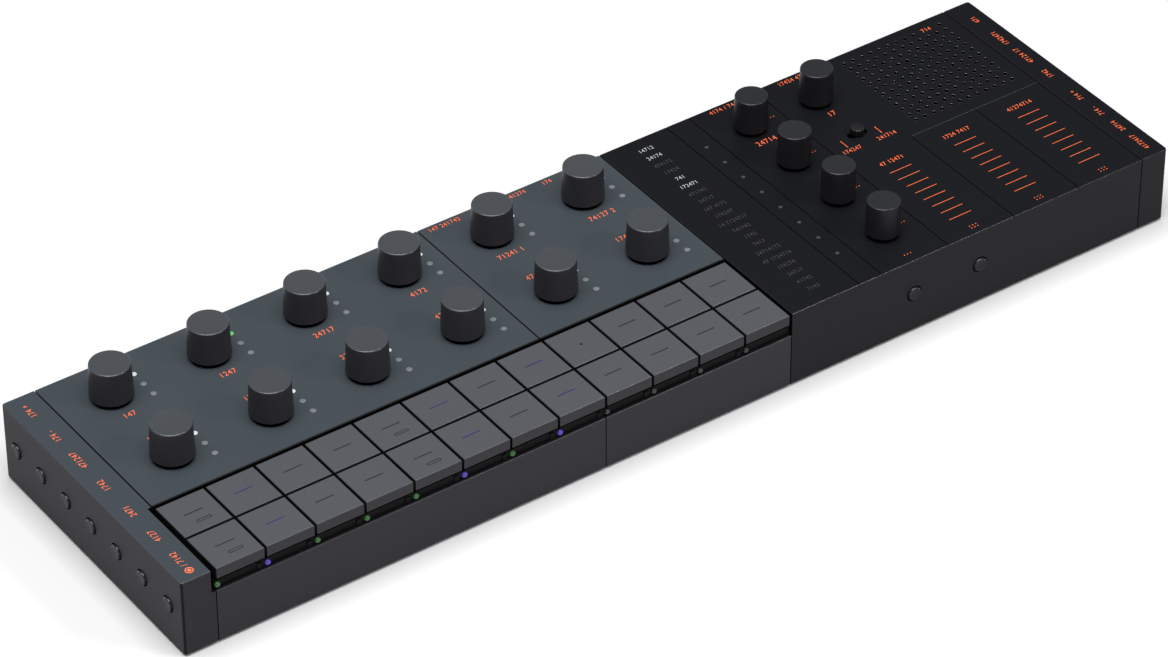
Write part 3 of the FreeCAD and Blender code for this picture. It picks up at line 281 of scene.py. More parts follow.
def vector_reckoned(tree, operation, first, second):
    """Result of one operation on two vectors."""
    node = tree.nodes.new("ShaderNodeVectorMath")
    node.operation = operation
    give(tree, node.inputs[0], first)
    give(tree, node.inputs[1], second)
    return node.outputs[0]


def scaled(tree, colour, factor):
    """Colour times a factor."""
    node = tree.nodes.new("ShaderNodeVectorMath")
    node.operation = "SCALE"
    give(tree, node.inputs[0], colour if isinstance(colour, bpy.types.NodeSocket) else colour[:3])
    give(tree, node.inputs["Scale"], factor)
    return node.outputs[0]


def mixed(tree, mask, below, above):
    """Colour that goes from one to another with a mask; either may be a link."""
    mix = tree.nodes.new("ShaderNodeMix")
    mix.data_type = "RGBA"
    tree.links.new(mask, mix.inputs["Factor"])
    ends = [socket for socket in mix.inputs if socket.type == "RGBA"]
    give(tree, ends[0], below)
    give(tree, ends[1], above)
    return [socket for socket in mix.outputs if socket.type == "RGBA"][0]


def split_up(tree, vector):
    """X, Y and Z of a vector, as the outputs of one node."""
    node = tree.nodes.new("ShaderNodeSeparateXYZ")
    tree.links.new(vector, node.inputs[0])
    return node.outputs


def new_group(name, inputs, outputs):
    """Shader node group with named inputs and outputs."""
    group = bpy.data.node_groups.new(name, "ShaderNodeTree")
    for label, kind, value in inputs:
        socket = group.interface.new_socket(label, in_out="INPUT", socket_type=kind)
        socket.default_value = value
    for label, kind in outputs:
        group.interface.new_socket(label, in_out="OUTPUT", socket_type=kind)
    entry = group.nodes.new("NodeGroupInput")
    leave = group.nodes.new("NodeGroupOutput")
    return group, entry.outputs, leave.inputs


def use_group(tree, group, **values):
    """Outputs of a node group that is placed with its own values or links."""
    node = tree.nodes.new("ShaderNodeGroup")
    node.node_tree = group
    for name, value in values.items():
        give(tree, node.inputs[name], value)
    return node.outputs


def make_moulded_grain():
    """Spark-eroded grain of a moulding. Its tone is one plus the drift times a slow noise about its
    middle, times 0.94 to 1.06 over a fine noise. The tone scales colour and roughness."""
    group, given, result = new_group(
        "Moulded_grain",
        [("Colour", "NodeSocketColor", (0.5, 0.5, 0.5, 1)), ("Grain", "NodeSocketFloat", 3000.0),
         ("Drift", "NodeSocketFloat", 0.05), ("Roughness", "NodeSocketFloat", 0.5)],
        [("Colour", "NodeSocketColor"), ("Roughness", "NodeSocketFloat"),
         ("Height", "NodeSocketFloat")],
    )
    fine = noise(group, given["Grain"], 2.0, roughness=0.6)
    slow = reckoned(group, "SUBTRACT", noise(group, 35.0, 3.0), 0.5)
    drift = reckoned(group, "MULTIPLY_ADD", slow, given["Drift"], 1.0)
    tone = reckoned(group, "MULTIPLY", drift, ranged(group, fine, 0.3, 0.7, 0.94, 1.06))
    rough = reckoned(group, "MULTIPLY", given["Roughness"], tone, clamp=True)
    group.links.new(scaled(group, given["Colour"], tone), result["Colour"])
    group.links.new(rough, result["Roughness"])
    group.links.new(fine, result["Height"])
    return group


def make_level_mask():
    """0 below a level of the object and 1 above it: the height over the level, through a span."""
    group, given, result = new_group(
        "Level_mask",
        [("Level", "NodeSocketFloat", 0.0), ("Span", "NodeSocketFloat", 0.3 * MM)],
        [("Mask", "NodeSocketFloat")],
    )
    place = group.nodes.new("ShaderNodeTexCoord")
    height = split_up(group, place.outputs["Object"])["Z"]
    above = reckoned(group, "SUBTRACT", height, given["Level"])
    share = reckoned(group, "DIVIDE", above, given["Span"], clamp=True)
    group.links.new(share, result["Mask"])
    return group


def make_box_mask():
    """Depth inside a box of the object and 0 outside: the least distance to its six faces, held
    to 1 from a fiftieth of a millimetre on, times the depth."""
    group, given, result = new_group(
        "Box_mask",
        [("Low", "NodeSocketVector", (0, 0, 0)), ("High", "NodeSocketVector", (0, 0, 0)),
         ("Depth", "NodeSocketFloat", 1.0)],
        [("Mask", "NodeSocketFloat")],
    )
    place = group.nodes.new("ShaderNodeTexCoord").outputs["Object"]
    past_low = vector_reckoned(group, "SUBTRACT", place, given["Low"])
    before_high = vector_reckoned(group, "SUBTRACT", given["High"], place)
    least = split_up(group, vector_reckoned(group, "MINIMUM", past_low, before_high))
    flat = reckoned(group, "MINIMUM", least["X"], least["Y"])
    whole = reckoned(group, "MINIMUM", flat, least["Z"])
    share = reckoned(group, "DIVIDE", whole, 0.02 * MM, clamp=True)
    group.links.new(reckoned(group, "MULTIPLY", share, given["Depth"]), result["Mask"])
    return group


def make_edge_sheen():
    """Coat of a rounded edge: there is one where the surface lies between level and upright."""
    group, given, result = new_group(
        "Edge_sheen", [("Amount", "NodeSocketFloat", 0.5)], [("Coat", "NodeSocketFloat")])
    shape = group.nodes.new("ShaderNodeNewGeometry")
    rise = split_up(group, shape.outputs["Normal"])["Z"]
    off_upright = ranged(group, rise, 0.12, 0.3, 0.0, 1.0)
    off_level = ranged(group, rise, 0.985, 0.9, 0.0, 1.0)
    both = reckoned(group, "MULTIPLY", off_upright, off_level)
    group.links.new(reckoned(group, "MULTIPLY", both, given["Amount"]), result["Coat"])
    return group


MOULDED_GRAIN = make_moulded_grain()
LEVEL_MASK = make_level_mask()
BOX_MASK = make_box_mask()
EDGE_SHEEN = make_edge_sheen()
# Near black: painted shade inside the case's rooms and on the encoders' tops, and the black of the
# lamp sleeves
SHADE_AND_SLEEVE_BLACK = srgb(5, 5, 6)


def new_material(name):
    """Material with its shader and an empty tree otherwise."""
    material = bpy.data.materials.new(name)
    material.use_nodes = True
    tree = material.node_tree
    return material, tree, tree.nodes["Principled BSDF"]


def raise_surface(tree, shader, height, strength, distance):
    """Bump of a shader from a height."""
    bump = tree.nodes.new("ShaderNodeBump")
    bump.inputs["Strength"].default_value = strength
    bump.inputs["Distance"].default_value = distance
    tree.links.new(height, bump.inputs["Height"])
    tree.links.new(bump.outputs["Normal"], shader.inputs["Normal"])


def moulded(name, colour, roughness, grain=3000.0, drift=0.06, bump=0.15, top=None, level=None,
            specular=0.2, rooms=(), sheen=0.0):
    """Moulded plastic with a grain. Above a level the colour is that of the painted or filmed top;
    on the keys the darker colour below that level is painted shade on their sides. Inside each
    room, a box of the object with a depth, it goes to near black: painted shade in seams, holes,
    recesses and gaps. The sheen is a coat on rounded edges outside the rooms."""
    material, tree, shader = new_material(name)
    paint = colour
    if top is not None:
        paint = mixed(tree, use_group(tree, LEVEL_MASK, Level=level)["Mask"], colour, top)
    shade_mask = None
    # Painted shade: near black inside each room
    for low, high, depth in rooms:
        corners = {"Low": in_frame(low).tolist(), "High": in_frame(high).tolist()}
        inside = use_group(tree, BOX_MASK, Depth=depth, **corners)["Mask"]
        paint = mixed(tree, inside, paint, SHADE_AND_SLEEVE_BLACK)
        shade_mask = inside if shade_mask is None else reckoned(tree, "MAXIMUM", shade_mask, inside)
    if sheen:
        amount = sheen if shade_mask is None else reckoned(tree, "MULTIPLY_ADD", shade_mask, -sheen, sheen)
        edge = use_group(tree, EDGE_SHEEN, Amount=amount)
        tree.links.new(edge["Coat"], shader.inputs["Coat Weight"])
        shader.inputs["Coat Roughness"].default_value = 0.2
    surface = use_group(tree, MOULDED_GRAIN, Colour=paint, Grain=grain, Drift=drift,
                        Roughness=roughness)
    tree.links.new(surface["Colour"], shader.inputs["Base Color"])
    tree.links.new(surface["Roughness"], shader.inputs["Roughness"])
    raise_surface(tree, shader, surface["Height"], bump, 0.04 * MM)
    shader.inputs["Specular IOR Level"].default_value = specular
    return material


def metal(name, colour, roughness, shade_black_above=None):
    """Brushed metal: noise drawn out along Z moves roughness and bump. Above a level it is painted
    near black, as painted shade."""
    material, tree, shader = new_material(name)
    mapping = tree.nodes.new("ShaderNodeMapping")
    mapping.inputs["Scale"].default_value = (1, 1, 12)
    place = tree.nodes.new("ShaderNodeTexCoord")
    tree.links.new(place.outputs["Object"], mapping.inputs["Vector"])
    lines = noise(tree, 900.0, 3.0, vector=mapping.outputs["Vector"])
    spread = ranged(tree, lines, 0.0, 1.0, roughness * 0.7, roughness * 1.3)
    tree.links.new(spread, shader.inputs["Roughness"])
    raise_surface(tree, shader, lines, 0.1, 0.03 * MM)
    paint = colour
    if shade_black_above is not None:
        shaded_part = use_group(tree, LEVEL_MASK, Level=shade_black_above)["Mask"]
        paint = mixed(tree, shaded_part, colour, SHADE_AND_SLEEVE_BLACK)
    give(tree, shader.inputs["Base Color"], paint)
    shader.inputs["Metallic"].default_value = 1.0
    return material


def lamp(name, colour, glow=None, strength=0.0, sleeve_top=None):
    """Light pipe: clear plastic, its tone and glow going from 0.75 to 1.25 over a noise. Below the
    sleeve's top it is sleeved in black."""
    material, tree, shader = new_material(name)
    cloud = ranged(tree, noise(tree, 900.0, 1.0), 0.0, 1.0, 0.75, 1.25)
    paint = scaled(tree, colour, cloud)
    open_end = None
    if sleeve_top is not None:
        open_end = use_group(tree, LEVEL_MASK, Level=sleeve_top)["Mask"]
        paint = mixed(tree, open_end, SHADE_AND_SLEEVE_BLACK, paint)
    tree.links.new(paint, shader.inputs["Base Color"])
    shader.inputs["Roughness"].default_value = 0.3
    if glow is not None:
        beam = scaled(tree, glow, cloud)
        if open_end is not None:
            beam = mixed(tree, open_end, (0, 0, 0, 1), beam)
        tree.links.new(beam, shader.inputs["Emission Color"])
        shader.inputs["Emission Strength"].default_value = strength
    return material


def ink(name, colour, specks=0.12):
    """Screen printing: a matt coat whose tone goes up and down by its specks over a fine noise."""
    material, tree, shader = new_material(name)
    cover = ranged(tree, noise(tree, 2500.0, 2.0), 0.3, 0.7, 1 - specks, 1 + specks)
    tree.links.new(scaled(tree, colour, cover), shader.inputs["Base Color"])
    shader.inputs["Roughness"].default_value = 0.55
    return material


def level_at(height):
    """Level in the frame of a height above the case's corner."""
    return CORNER[2] + height * MM


TOP_LEVEL = level_at(PANEL - 0.35)

# Painted shade: inside these rooms the colour goes near black, for the shade in seams, grooves,
# holes, under the keys and on the keys' sides. The boxes end just within the outer faces, and pass
# the open sides

INSIDE_TOP = PANEL - 0.32
BELOW, BEFORE, BEYOND = -5, -5, LENGTH
cover_shade_rooms = [
    ((BEFORE, 0.95, BELOW), (LENGTH - 0.1, DEPTH - 0.1, INSIDE_TOP), 1.0),
    # Painted shadow of the keys on the ledge beneath them, three quarters of the way to near black
    ((BEFORE, -1, WELL_FLOOR - 0.1), (BEYOND, 0.96, WELL_FLOOR + 0.1), 0.75),
    # Painted shade on the key well's rear wall and its top edge, whose sheen it also takes away
    ((BEFORE, WELL_REAR - 1.2, WELL_FLOOR), (EFFECTS_SEAM - 0.2, WELL_REAR + 0.4, PANEL + 1), 1.0),
]
left_shade_rooms = [((0.1, 0.1, BELOW), (BEYOND, DEPTH - 0.1, INSIDE_TOP), 1.0)]
right_shade_rooms = [((BEFORE, 0.1, BELOW), (LENGTH - 0.1, DEPTH - 0.1, INSIDE_TOP), 1.0)]
key_shade_rooms = [((BEFORE, 0.12, BELOW), (BEYOND, DEPTH, PANEL - 0.4), 1.0)]

grey_top, grey_side = srgb(49, 55, 60), srgb(39, 39, 44)
# The case's materials go near black inside their rooms: painted shade
grey_case = moulded("Grey_case", grey_side, 0.46, top=grey_top, level=TOP_LEVEL, rooms=cover_shade_rooms,
                    sheen=0.8, specular=0.15)
grey_block = moulded("Grey_block", grey_side, 0.46, top=grey_top, level=TOP_LEVEL, rooms=left_shade_rooms,
                     sheen=0.8, specular=0.1)
black_case = moulded("Black_case", srgb(26, 26, 29), 0.5, top=srgb(11, 12, 16), level=TOP_LEVEL,
                     rooms=right_shade_rooms, sheen=0.8, specular=0.1)
# Painted shade: the keys' sides are darker than their tops, and near black below the top in the
# gaps between keys
key_cover = moulded("Key_rubber", srgb(46, 46, 50), 0.62, grain=2200.0, drift=0.08, bump=0.25,
                    top=srgb(60, 62, 66), level=TOP_LEVEL, rooms=key_shade_rooms, sheen=0.4)
knob_side = moulded("Knob_side", srgb(42, 42, 46), 0.42, grain=2600.0, bump=0.12, sheen=0.8)
knob_top = moulded("Knob_top", srgb(50, 53, 57), 0.55, grain=1900.0, drift=0.1, bump=0.3, sheen=0.8)
slim_side = moulded("Slim_knob_side", srgb(25, 25, 28), 0.4, grain=2600.0, bump=0.12, sheen=0.4)
slim_top = moulded("Slim_knob_top", srgb(26, 27, 30), 0.5, grain=1900.0, drift=0.1, bump=0.3,
                   sheen=0.4)
button_cover = moulded("Button_plastic", srgb(30, 30, 34), 0.3, grain=2800.0, sheen=1.0,
                       specular=0.1)
switch_cover = moulded("Switch_cap", srgb(16, 16, 18), 0.2, grain=2600.0, sheen=1.0, specular=0.4)
tray_cover = moulded("Tray_plastic", srgb(24, 24, 27), 0.6, grain=1500.0, bump=0.3)
lip_paint = moulded("Lip_paint", srgb(40, 41, 45), 0.3, specular=0.5)
foot_cover = moulded("Foot_rubber", srgb(17, 17, 18), 0.8, grain=1200.0, bump=0.5)
# Painted shade: the lamp bar's near black stands for the shade in the band under the keys
lamp_bar_shade_black = moulded("Lamp_bar", srgb(7, 7, 8), 0.5, grain=2500.0, specular=0.08)
socket_cover = moulded("Socket_plastic", srgb(12, 12, 14), 0.35, grain=2500.0)
battery_wrap = moulded("Battery_wrap", srgb(60, 88, 150), 0.35, grain=900.0, drift=0.15)
board_cover = moulded("Circuit_board", srgb(22, 96, 58), 0.45, grain=700.0, drift=0.3,
                      top=srgb(38, 38, 40), level=level_at(BOARD_PARTS))
steel = metal("Screw_steel", srgb(120, 120, 122), 0.35)
speaker_steel = metal("Speaker_steel", srgb(150, 150, 152), 0.4)
# The encoders are near black above 20 mm: painted shade under the knobs, where their lit tops would
# show through the gap
encoder_metal = metal("Encoder_metal", srgb(200, 200, 202), 0.3, shade_black_above=level_at(20))
rim_metal = metal("Hole_rims", srgb(96, 96, 100), 0.24)
contact_metal = metal("Contact_metal", srgb(212, 208, 200), 0.25)

orange_ink = ink("Orange_ink", srgb(226, 100, 54))
white_ink = ink("White_ink", srgb(170, 172, 176))
dim_ink = ink("Dim_ink", srgb(44, 45, 49))
dark_mark = ink("Key_mark_dark", srgb(7, 7, 8))
violet_mark = ink("Key_mark_violet", srgb(26, 20, 70))
dim_lamp = lamp("Lamp_off", srgb(96, 99, 104), sleeve_top=TOP_LEVEL)
dark_lamp = lamp("Lamp_dark", srgb(30, 31, 34))
white_lamp = lamp("Lamp_white", srgb(150, 154, 160), (0.9, 0.94, 1.0), 0.2, sleeve_top=TOP_LEVEL)
lit_lamp = lamp("Lamp_lit", srgb(70, 130, 66), (0.12, 0.55, 0.12), 0.5, sleeve_top=TOP_LEVEL)
green_lamp = lamp("Lamp_green", srgb(30, 52, 30), (0.05, 0.30, 0.05), 0.18)
violet_lamp = lamp("Lamp_violet", srgb(44, 34, 96), (0.10, 0.05, 0.60), 0.38)


# Materials of the CAD nodes that show as they are

wears = {
    "base_tray": tray_cover, "left_end_block": grey_block, "right_end_block": black_case,
    "drum_panel": grey_case, "synth_panel": grey_case, "effects_panel": black_case,
    "main_board": board_cover, "battery_pack": battery_wrap, "speaker": speaker_steel,
    "rotary_encoders": encoder_metal, "sockets": socket_cover, "rubber_feet": foot_cover,
    "case_screws": steel,
}
wears.update({name: key_cover for name in nodes if name.startswith("key_")})
for name, material in wears.items():
    mesh = nodes[name].data
    if not mesh.materials:
        mesh.materials.append(material)
    for slot_number in range(len(mesh.materials)):
        nodes[name].material_slots[slot_number].material = material


# Knobs


def knob_shape(node, shaft_radius, top_inset, skirt_wall, top_wall, bevel):
    """Turned cap and shaft: up the shaft, round the hollow skirt, up the tapered side, over a
    rounded rim and into a top that is dished by a few hundredths."""
    low, high = node_span(node)
    base = (high[0] - low[0]) / 2
    top = base - top_inset
    skirt_foot = PANEL + KNOB_LIFT
    height = high[2]
    ceiling = height - top_wall
    post = shaft_radius + 1.0
    profile = np.vstack([
        [(0, low[2]), (shaft_radius - 0.2, low[2]), (shaft_radius, low[2] + 0.2),
         (shaft_radius, skirt_foot), (post, skirt_foot), (post, ceiling),
         (top - skirt_wall, ceiling), (base - skirt_wall, skirt_foot), (base - 0.1, skirt_foot),
         (base, skirt_foot + 0.1)],
        np.linspace((base, skirt_foot + 0.1), (top, height - bevel), 8)[1:-1],
        arc((top - bevel, height - bevel), bevel, 0, 90, 7),
        [(top - bevel - 0.35, height - 0.03), (top * 0.5, height - 0.06), (0, height - 0.06)],
    ])
    middle = (low + high) / 2
    points, blocks = lathe(profile, 96)
    return (points + (middle[0], middle[1], 0), blocks)


def add_knob(node, side, top, **sizes):
    """Knob piece whose rim and top wear the lighter material."""
    low, high = node_span(node)
    name = node.replace("_knob", "_turning_knob")
    piece = add_piece(name, knob_shape(node, **sizes), side, node, (node,))
    mesh = piece.data
    mesh.materials.append(top)
    heights = np.empty(len(mesh.polygons) * 3)
    mesh.polygons.foreach_get("center", heights)
    on_top = heights[2::3] > level_at(high[2] - 0.2)
    mesh.polygons.foreach_set("material_index", on_top.astype(np.int32))
    return piece


track_knobs = sorted(name for name in nodes if name.startswith("track_knob"))
slim_knobs = sorted(name for name in nodes if name.startswith("sound_knob")) + ["effects_knob"]
for name in track_knobs:
    add_knob(name, knob_side, knob_top,
             shaft_radius=2.0, top_inset=0.4, skirt_wall=1.2, top_wall=1.6, bevel=0.35)
for name in slim_knobs:
    add_knob(name, slim_side, slim_top,
             shaft_radius=2.0, top_inset=0.3, skirt_wall=1.2, top_wall=1.6, bevel=0.35)


# Side buttons


def button_shape():
    """Turned button: stem, flange, then a face with a rounded rim and a shallow dish. Height 0 is
    the wall's outer face."""
    rim, stem, flange = 0.45, 1.5, BUTTON_RADIUS + 1.0
    stem_end, flange_back, flange_front = -3.85, -2.85, -1.85
    flat = BUTTON_RADIUS - rim
    profile = np.vstack([
        [(0, stem_end), (stem, stem_end), (stem, flange_back), (flange, flange_back),
         (flange, flange_front), (BUTTON_RADIUS, flange_front)],
        arc((flat, BUTTON_PROUD - rim), rim, 0, 90, 8),
        [(flat - 0.3, BUTTON_PROUD - 0.04), (BUTTON_RADIUS * 0.4, BUTTON_PROUD - 0.08),
         (0, BUTTON_PROUD - 0.08)],
    ])
    return lathe(profile, 48)


AXIS_Z = node_middle("left_buttons")[2]
left_rows = 7.6 + 13.3 * np.arange(7)
right_rows = 7.5 + 9.73 * np.arange(4)
front_columns = np.array([node_middle("sound_knob_1")[0], node_middle("effects_knob")[0]])
rear_columns = np.concatenate([SYNTH_SEAM + np.array([8.0, 23.3, 33.7, 44.1]), front_columns])
walls = {
    "left_buttons": ("-x", [(0, y, AXIS_Z) for y in left_rows]),
    "right_buttons": ("+x", [(LENGTH, y, AXIS_Z) for y in right_rows]),
    "front_buttons": ("-y", [(x, 0, AXIS_Z) for x in front_columns]),
    "rear_buttons": ("+y", [(x, DEPTH, AXIS_Z) for x in rear_columns]),
}
for name, (way, places) in walls.items():
    shape = repeat(aimed(button_shape(), way), places)
    add_piece(f"{name}_turned", shape, button_cover, name, (name,))


# Slide switch


def knurled(shape, middle, radius, ribs, depth):
    """Move the points near a radius in and out by a cosine of their angle, rib by rib."""
    points, blocks = shape
    out = points[:, :2] - middle
    angle = np.arctan2(out[:, 1], out[:, 0])
    reach = np.hypot(out[:, 0], out[:, 1])
    wave = np.where(reach > radius * 0.9, depth * (np.cos(ribs * angle) - 1) / 2, 0)
    scale = np.where(reach > 0, (reach + wave) / np.maximum(reach, 1e-9), 1)
    moved = points.copy()
    moved[:, :2] = middle + out * scale[:, None]
    return moved, blocks


switch_low, switch_high = node_span("mode_switch")
switch_middle = (switch_low + switch_high) / 2
cap_top = switch_high[2]
cap_radius, cap_rim, cap_stem = 2.2, 0.45, 1.1
carriage_top = switch_low[2] + 1.2
cap_profile = np.vstack([
    [(0, carriage_top), (cap_stem, carriage_top), (cap_stem, PANEL + 0.1),
     (cap_radius - 0.2, PANEL + 0.1), (cap_radius, PANEL + 0.3), (cap_radius, cap_top - 0.6)],
    arc((cap_radius - cap_rim, cap_top - cap_rim), cap_rim, 0, 90, 6),
    [(1.2, cap_top - 0.12), (0, cap_top - 0.15)],
])
cap = lathe(cap_profile, 96)
cap = (cap[0] + (switch_middle[0], switch_middle[1], 0), cap[1])
cap = knurled(cap, switch_middle[:2], cap_radius, 16, 0.22)
carriage = block(switch_low, (switch_high[0], switch_high[1], carriage_top))
add_piece("Slide_switch_cap", together([cap, carriage]), switch_cover, "mode_switch",
          ("mode_switch",))


# Lamps

knob_places = np.array([node_middle(name)[:2] for name in track_knobs])
PIPE_ASIDE, PIPE_PITCH = 10.3, 5.3
front_pipes, middle_pipes, rear_pipes = (
    knob_places + (PIPE_ASIDE, PIPE_PITCH * step) for step in (-1, 0, 1))


def pipe_shape():
    """Light pipe: a rod with a flange, its end a low dome just above the panel."""
    rod, flange, dome = 0.9, 1.5, 3.13
    foot, flange_foot, cover_inside = 10.6, 21.9, 23.2
    profile = np.vstack([
        [(0, foot), (rod, foot), (rod, flange_foot), (flange, flange_foot), (flange, cover_inside),
         (rod, cover_inside), (rod, PANEL)],
        arc((0.0, PANEL + 0.13 - dome), dome, 75, 90, 4)[:-1],
        [(0, PANEL + 0.13)],
    ])
    return lathe(profile, 24)


def pipes_at(places):
    """Light pipes at places of the panel."""
    return repeat(pipe_shape(), np.column_stack([places, np.zeros(len(places))]))


in_rear_row = np.flatnonzero(knob_places[:, 1] > knob_places[:, 1].mean())
green_pipe = in_rear_row[np.argsort(knob_places[in_rear_row, 0])[1]]
green_places = rear_pipes[green_pipe][None]
white_places = np.delete(rear_pipes, green_pipe, axis=0)
off_places = np.vstack([middle_pipes, front_pipes])
add_piece("Track_lamps_green", pipes_at(green_places), lit_lamp, "chassis",
          ("light_pipes",))
add_piece("Track_lamps_white", pipes_at(white_places), white_lamp, "chassis")
add_piece("Track_lamps_off", pipes_at(off_places), dim_lamp, "chassis")

column_starts = DRUM_SEAM + KEY_PITCH * np.arange(KEY_COLUMNS)
BAR_FRONT = 1.0
# The bar that holds the key lamps, and its tabs between the keys, are near black: painted shade
# under the keys
bar = block((DRUM_SEAM - 0.1, BAR_FRONT, WELL_FLOOR), (EFFECTS_SEAM - 0.3, 2.2, WELL_FLOOR + 2.7))
tabs = repeat(block((-2.4, 0.7, WELL_FLOOR + 0.3), (-1.0, 1.05, WELL_FLOOR + 2.2)),
              [(x, 0, 0) for x in column_starts[1:]])
add_piece("Lamp_bar_black", together([bar, tabs]), lamp_bar_shade_black, "chassis")


def key_lamp_shape():
    """Lamp on the bar: a short drum with a domed face, pointing to the front."""
    radius, rim, side = 0.85, 0.4, 0.3
    profile = np.vstack([
        [(0, -0.2), (radius, -0.2), (radius, side)],
        arc((radius - rim, side), rim, 0, 90, 4)[1:],
        [(0, side + rim + 0.05)],
    ])
    return aimed(lathe(profile, 24), "-y")


lamp_places = [(x + 0.9, BAR_FRONT, WELL_FLOOR + 1.35) for x in column_starts]
for name, columns, material in (
    ("Key_lamps_green", (0, 2, 3, 4, 6), green_lamp),
    ("Key_lamps_violet", (1, 5, 7), violet_lamp),
    ("Key_lamps_off", (8, 9, 10, 11), dark_lamp),
):
    places = [lamp_places[column] for column in columns]
    add_piece(name, repeat(key_lamp_shape(), places), material, "chassis")


# Grille and sockets

grille_x = 290.1 + 3.3 * np.arange(12)
grille_y = 89.7 - 3.2 * np.arange(12)
LABELLED_HOLES = ((0, 9), (0, 10))
holes = [(x, y, PANEL) for j, y in enumerate(grille_y) for i, x in enumerate(grille_x)
         if (j, i) not in LABELLED_HOLES]
eyelet = hoop([(0.68, -0.2), (0.84, -0.2), (0.84, 0.01), (0.82, 0.02), (0.79, 0.02), (0.68, -0.05)],
              20)
add_piece("Grille_hole_rims", repeat(eyelet, holes), rim_metal, "chassis")

lip_start, lip_y, lip_length = 284.1, 48.55, 47.4
lip_section = [(0, 0), (0.2, 0), (0.2, 0.02), (0.15, 0.05), (0.05, 0.05), (0, 0.02)]
lip = prism(lip_section, 0, lip_length)
lip_points = lip[0][:, [2, 0, 1]] + (lip_start, lip_y, PANEL - 0.01)
add_piece("Groove_lip", (lip_points, lip[1]), lip_paint, "chassis", crease=80)

jack_places = [(LENGTH, y, 13.3) for y in (73.3, 61.85, 50.4)]
bore, jack_depth = 1.82, -9.0
liner = hoop([(bore, jack_depth), (2.2, jack_depth), (2.2, 0.0), (2.1, 0.06), (1.9, 0.06),
              (bore, 0.0)], 48)
add_piece("Jack_liners", repeat(aimed(liner, "+x"), jack_places), contact_metal, "chassis")
usb_outside, usb_inside = round_box_outline(9.0, 3.3, 1.0), round_box_outline(8.4, 2.7, 0.9)
usb_place = (LENGTH, 85.3, 11.85)
usb_points, usb_blocks = flat_ring(usb_outside, usb_inside, -6.8, 0.03)
usb_shell = (usb_points[:, [2, 0, 1]] + usb_place, usb_blocks)
add_piece("Usb_shell", usb_shell, contact_metal, "chassis")


# Printing


def printed(text, height, squeeze=0.82):
    """Thin plates with the outline of the figures, centred on the origin, in millimetres. A figure
    is 0.7 of its type size high."""
    curve = bpy.data.curves.new("figures", "FONT")
    curve.body = text
    curve.align_x = "CENTER"
    curve.align_y = "CENTER"
    curve.size = height / 0.7
    curve.extrude = INK / 2
    curve.offset = -height * 0.012
    curve.resolution_u = 3
    curve.space_character = 1.12
    holder = bpy.data.objects.new("figures", curve)
    bpy.context.scene.collection.objects.link(holder)
    bpy.context.view_layer.update()
    mesh = bpy.data.meshes.new_from_object(holder)
    bpy.data.objects.remove(holder)
    shell = bmesh.new()
    shell.from_mesh(mesh)
    bmesh.ops.remove_doubles(shell, verts=shell.verts, dist=0.002)
    bmesh.ops.triangulate(shell, faces=shell.faces)
    bmesh.ops.recalc_face_normals(shell, faces=shell.faces)
    shell.to_mesh(mesh)
    shell.free()
    points = np.empty(len(mesh.vertices) * 3)
    mesh.vertices.foreach_get("co", points)
    corners = np.empty(len(mesh.loops), np.int64)
    mesh.loops.foreach_get("vertex_index", corners)
    bpy.data.meshes.remove(mesh)
    return points.reshape(-1, 3) * (squeeze, 1, 1), [corners.reshape(-1, 3)]


def turned(shape, degrees, x, y, z):
    """A flat shape turned about Z and moved to its place."""
    points, blocks = shape
    c, s = math.cos(math.radians(degrees)), math.sin(math.radians(degrees))
    turn = np.array([[c, s, 0], [-s, c, 0], [0, 0, 1]])
    return points @ turn + (x, y, z), blocks


SINK = 0.006
LIFT = PANEL + INK / 2 - SINK


def labels(entries, angle=0, height=2.0):
    """Figures on the panel, for each (text, x, y)."""
    return [turned(printed(text, height), angle, x, y, LIFT) for text, x, y in entries]


def dots(places, radius=0.18):
    """Round dots on the panel."""
    disc = prism(arc((0, 0), radius, 0, 330, 12), -INK / 2, INK / 2)
    return repeat(disc, [(x, y, LIFT) for x, y in places])


def dashes(places, length, width):
    """Round-ended dashes on the panel, along X."""
    plate = prism(bar_outline(length, width), -INK / 2, INK / 2)
    return repeat(plate, [(x, y, LIFT) for x, y in places])


knob_columns = DRUM_SEAM + KEY_PITCH * (2 * np.arange(6) + 1)
slim_x = front_columns[0]
effects_x = front_columns[1]
slim_rows = [node_middle(name)[1] for name in slim_knobs[:4]]

rear_names = ("147", "1247", "24717", "4172", "71241 1", "74127 2")
front_names = ("171", "1712", "2741", "4714", "47124", "174271")
orange = labels([(text, x, 69.7) for text, x in zip(rear_names, knob_columns)], height=2.1)
orange += labels([(text, x, 57.1) for text, x in zip(front_names, knob_columns)], height=2.1)
rear_edge = (("147 241742", 146.7), ("174124", 161.5), ("41274", 172.4), ("174", 182.8),
             ("4174 / 7417", slim_x), ("17424 47", effects_x))
orange += labels([(text, x, 92.2) for text, x in rear_edge], height=1.75)
orange += labels([("24714", slim_x, 71.4), ("17", effects_x, 71.3)], height=2.2)
orange += labels([("47 12471", 271.5, 42.3), ("1724 7417", 295.6, 42.3), ("41274714", 319.5, 42.3),
                  ("174247", 265.3, 53.2), ("241714", 278.1, 53.2), ("714", 321.4, 89.7)],
                 height=1.75)
left_names = (("/ 7142", 9.2), ("4127", 21.2), ("2471", 33.9), ("1742", 47.4), ("471247", 60.8),
              ("174 -", 73.6), ("174 +", 87.1))
orange += labels([(text, 4.9, y) for text, y in left_names], angle=90, height=2.0)
right_names = (("4172417", 7.5), ("24714", 17.4), ("714 -", 26.8), ("714 +", 36.7), ("1742", 50.4),
               ("47124 17", 62.0), ("1742471", 73.3), ("471", 85.3))
orange += labels([(text, 337.0, y) for text, y in right_names], angle=90, height=1.75)
circle_place = (4.9, 3.7)
circle_outside, circle_inside = (arc(circle_place, r, 0, 337.5, 16) for r in (1.25, 0.95))
orange.append(flat_ring(circle_outside, circle_inside, LIFT - INK / 2, LIFT + INK / 2))
orange.append(dots([circle_place], 0.6))

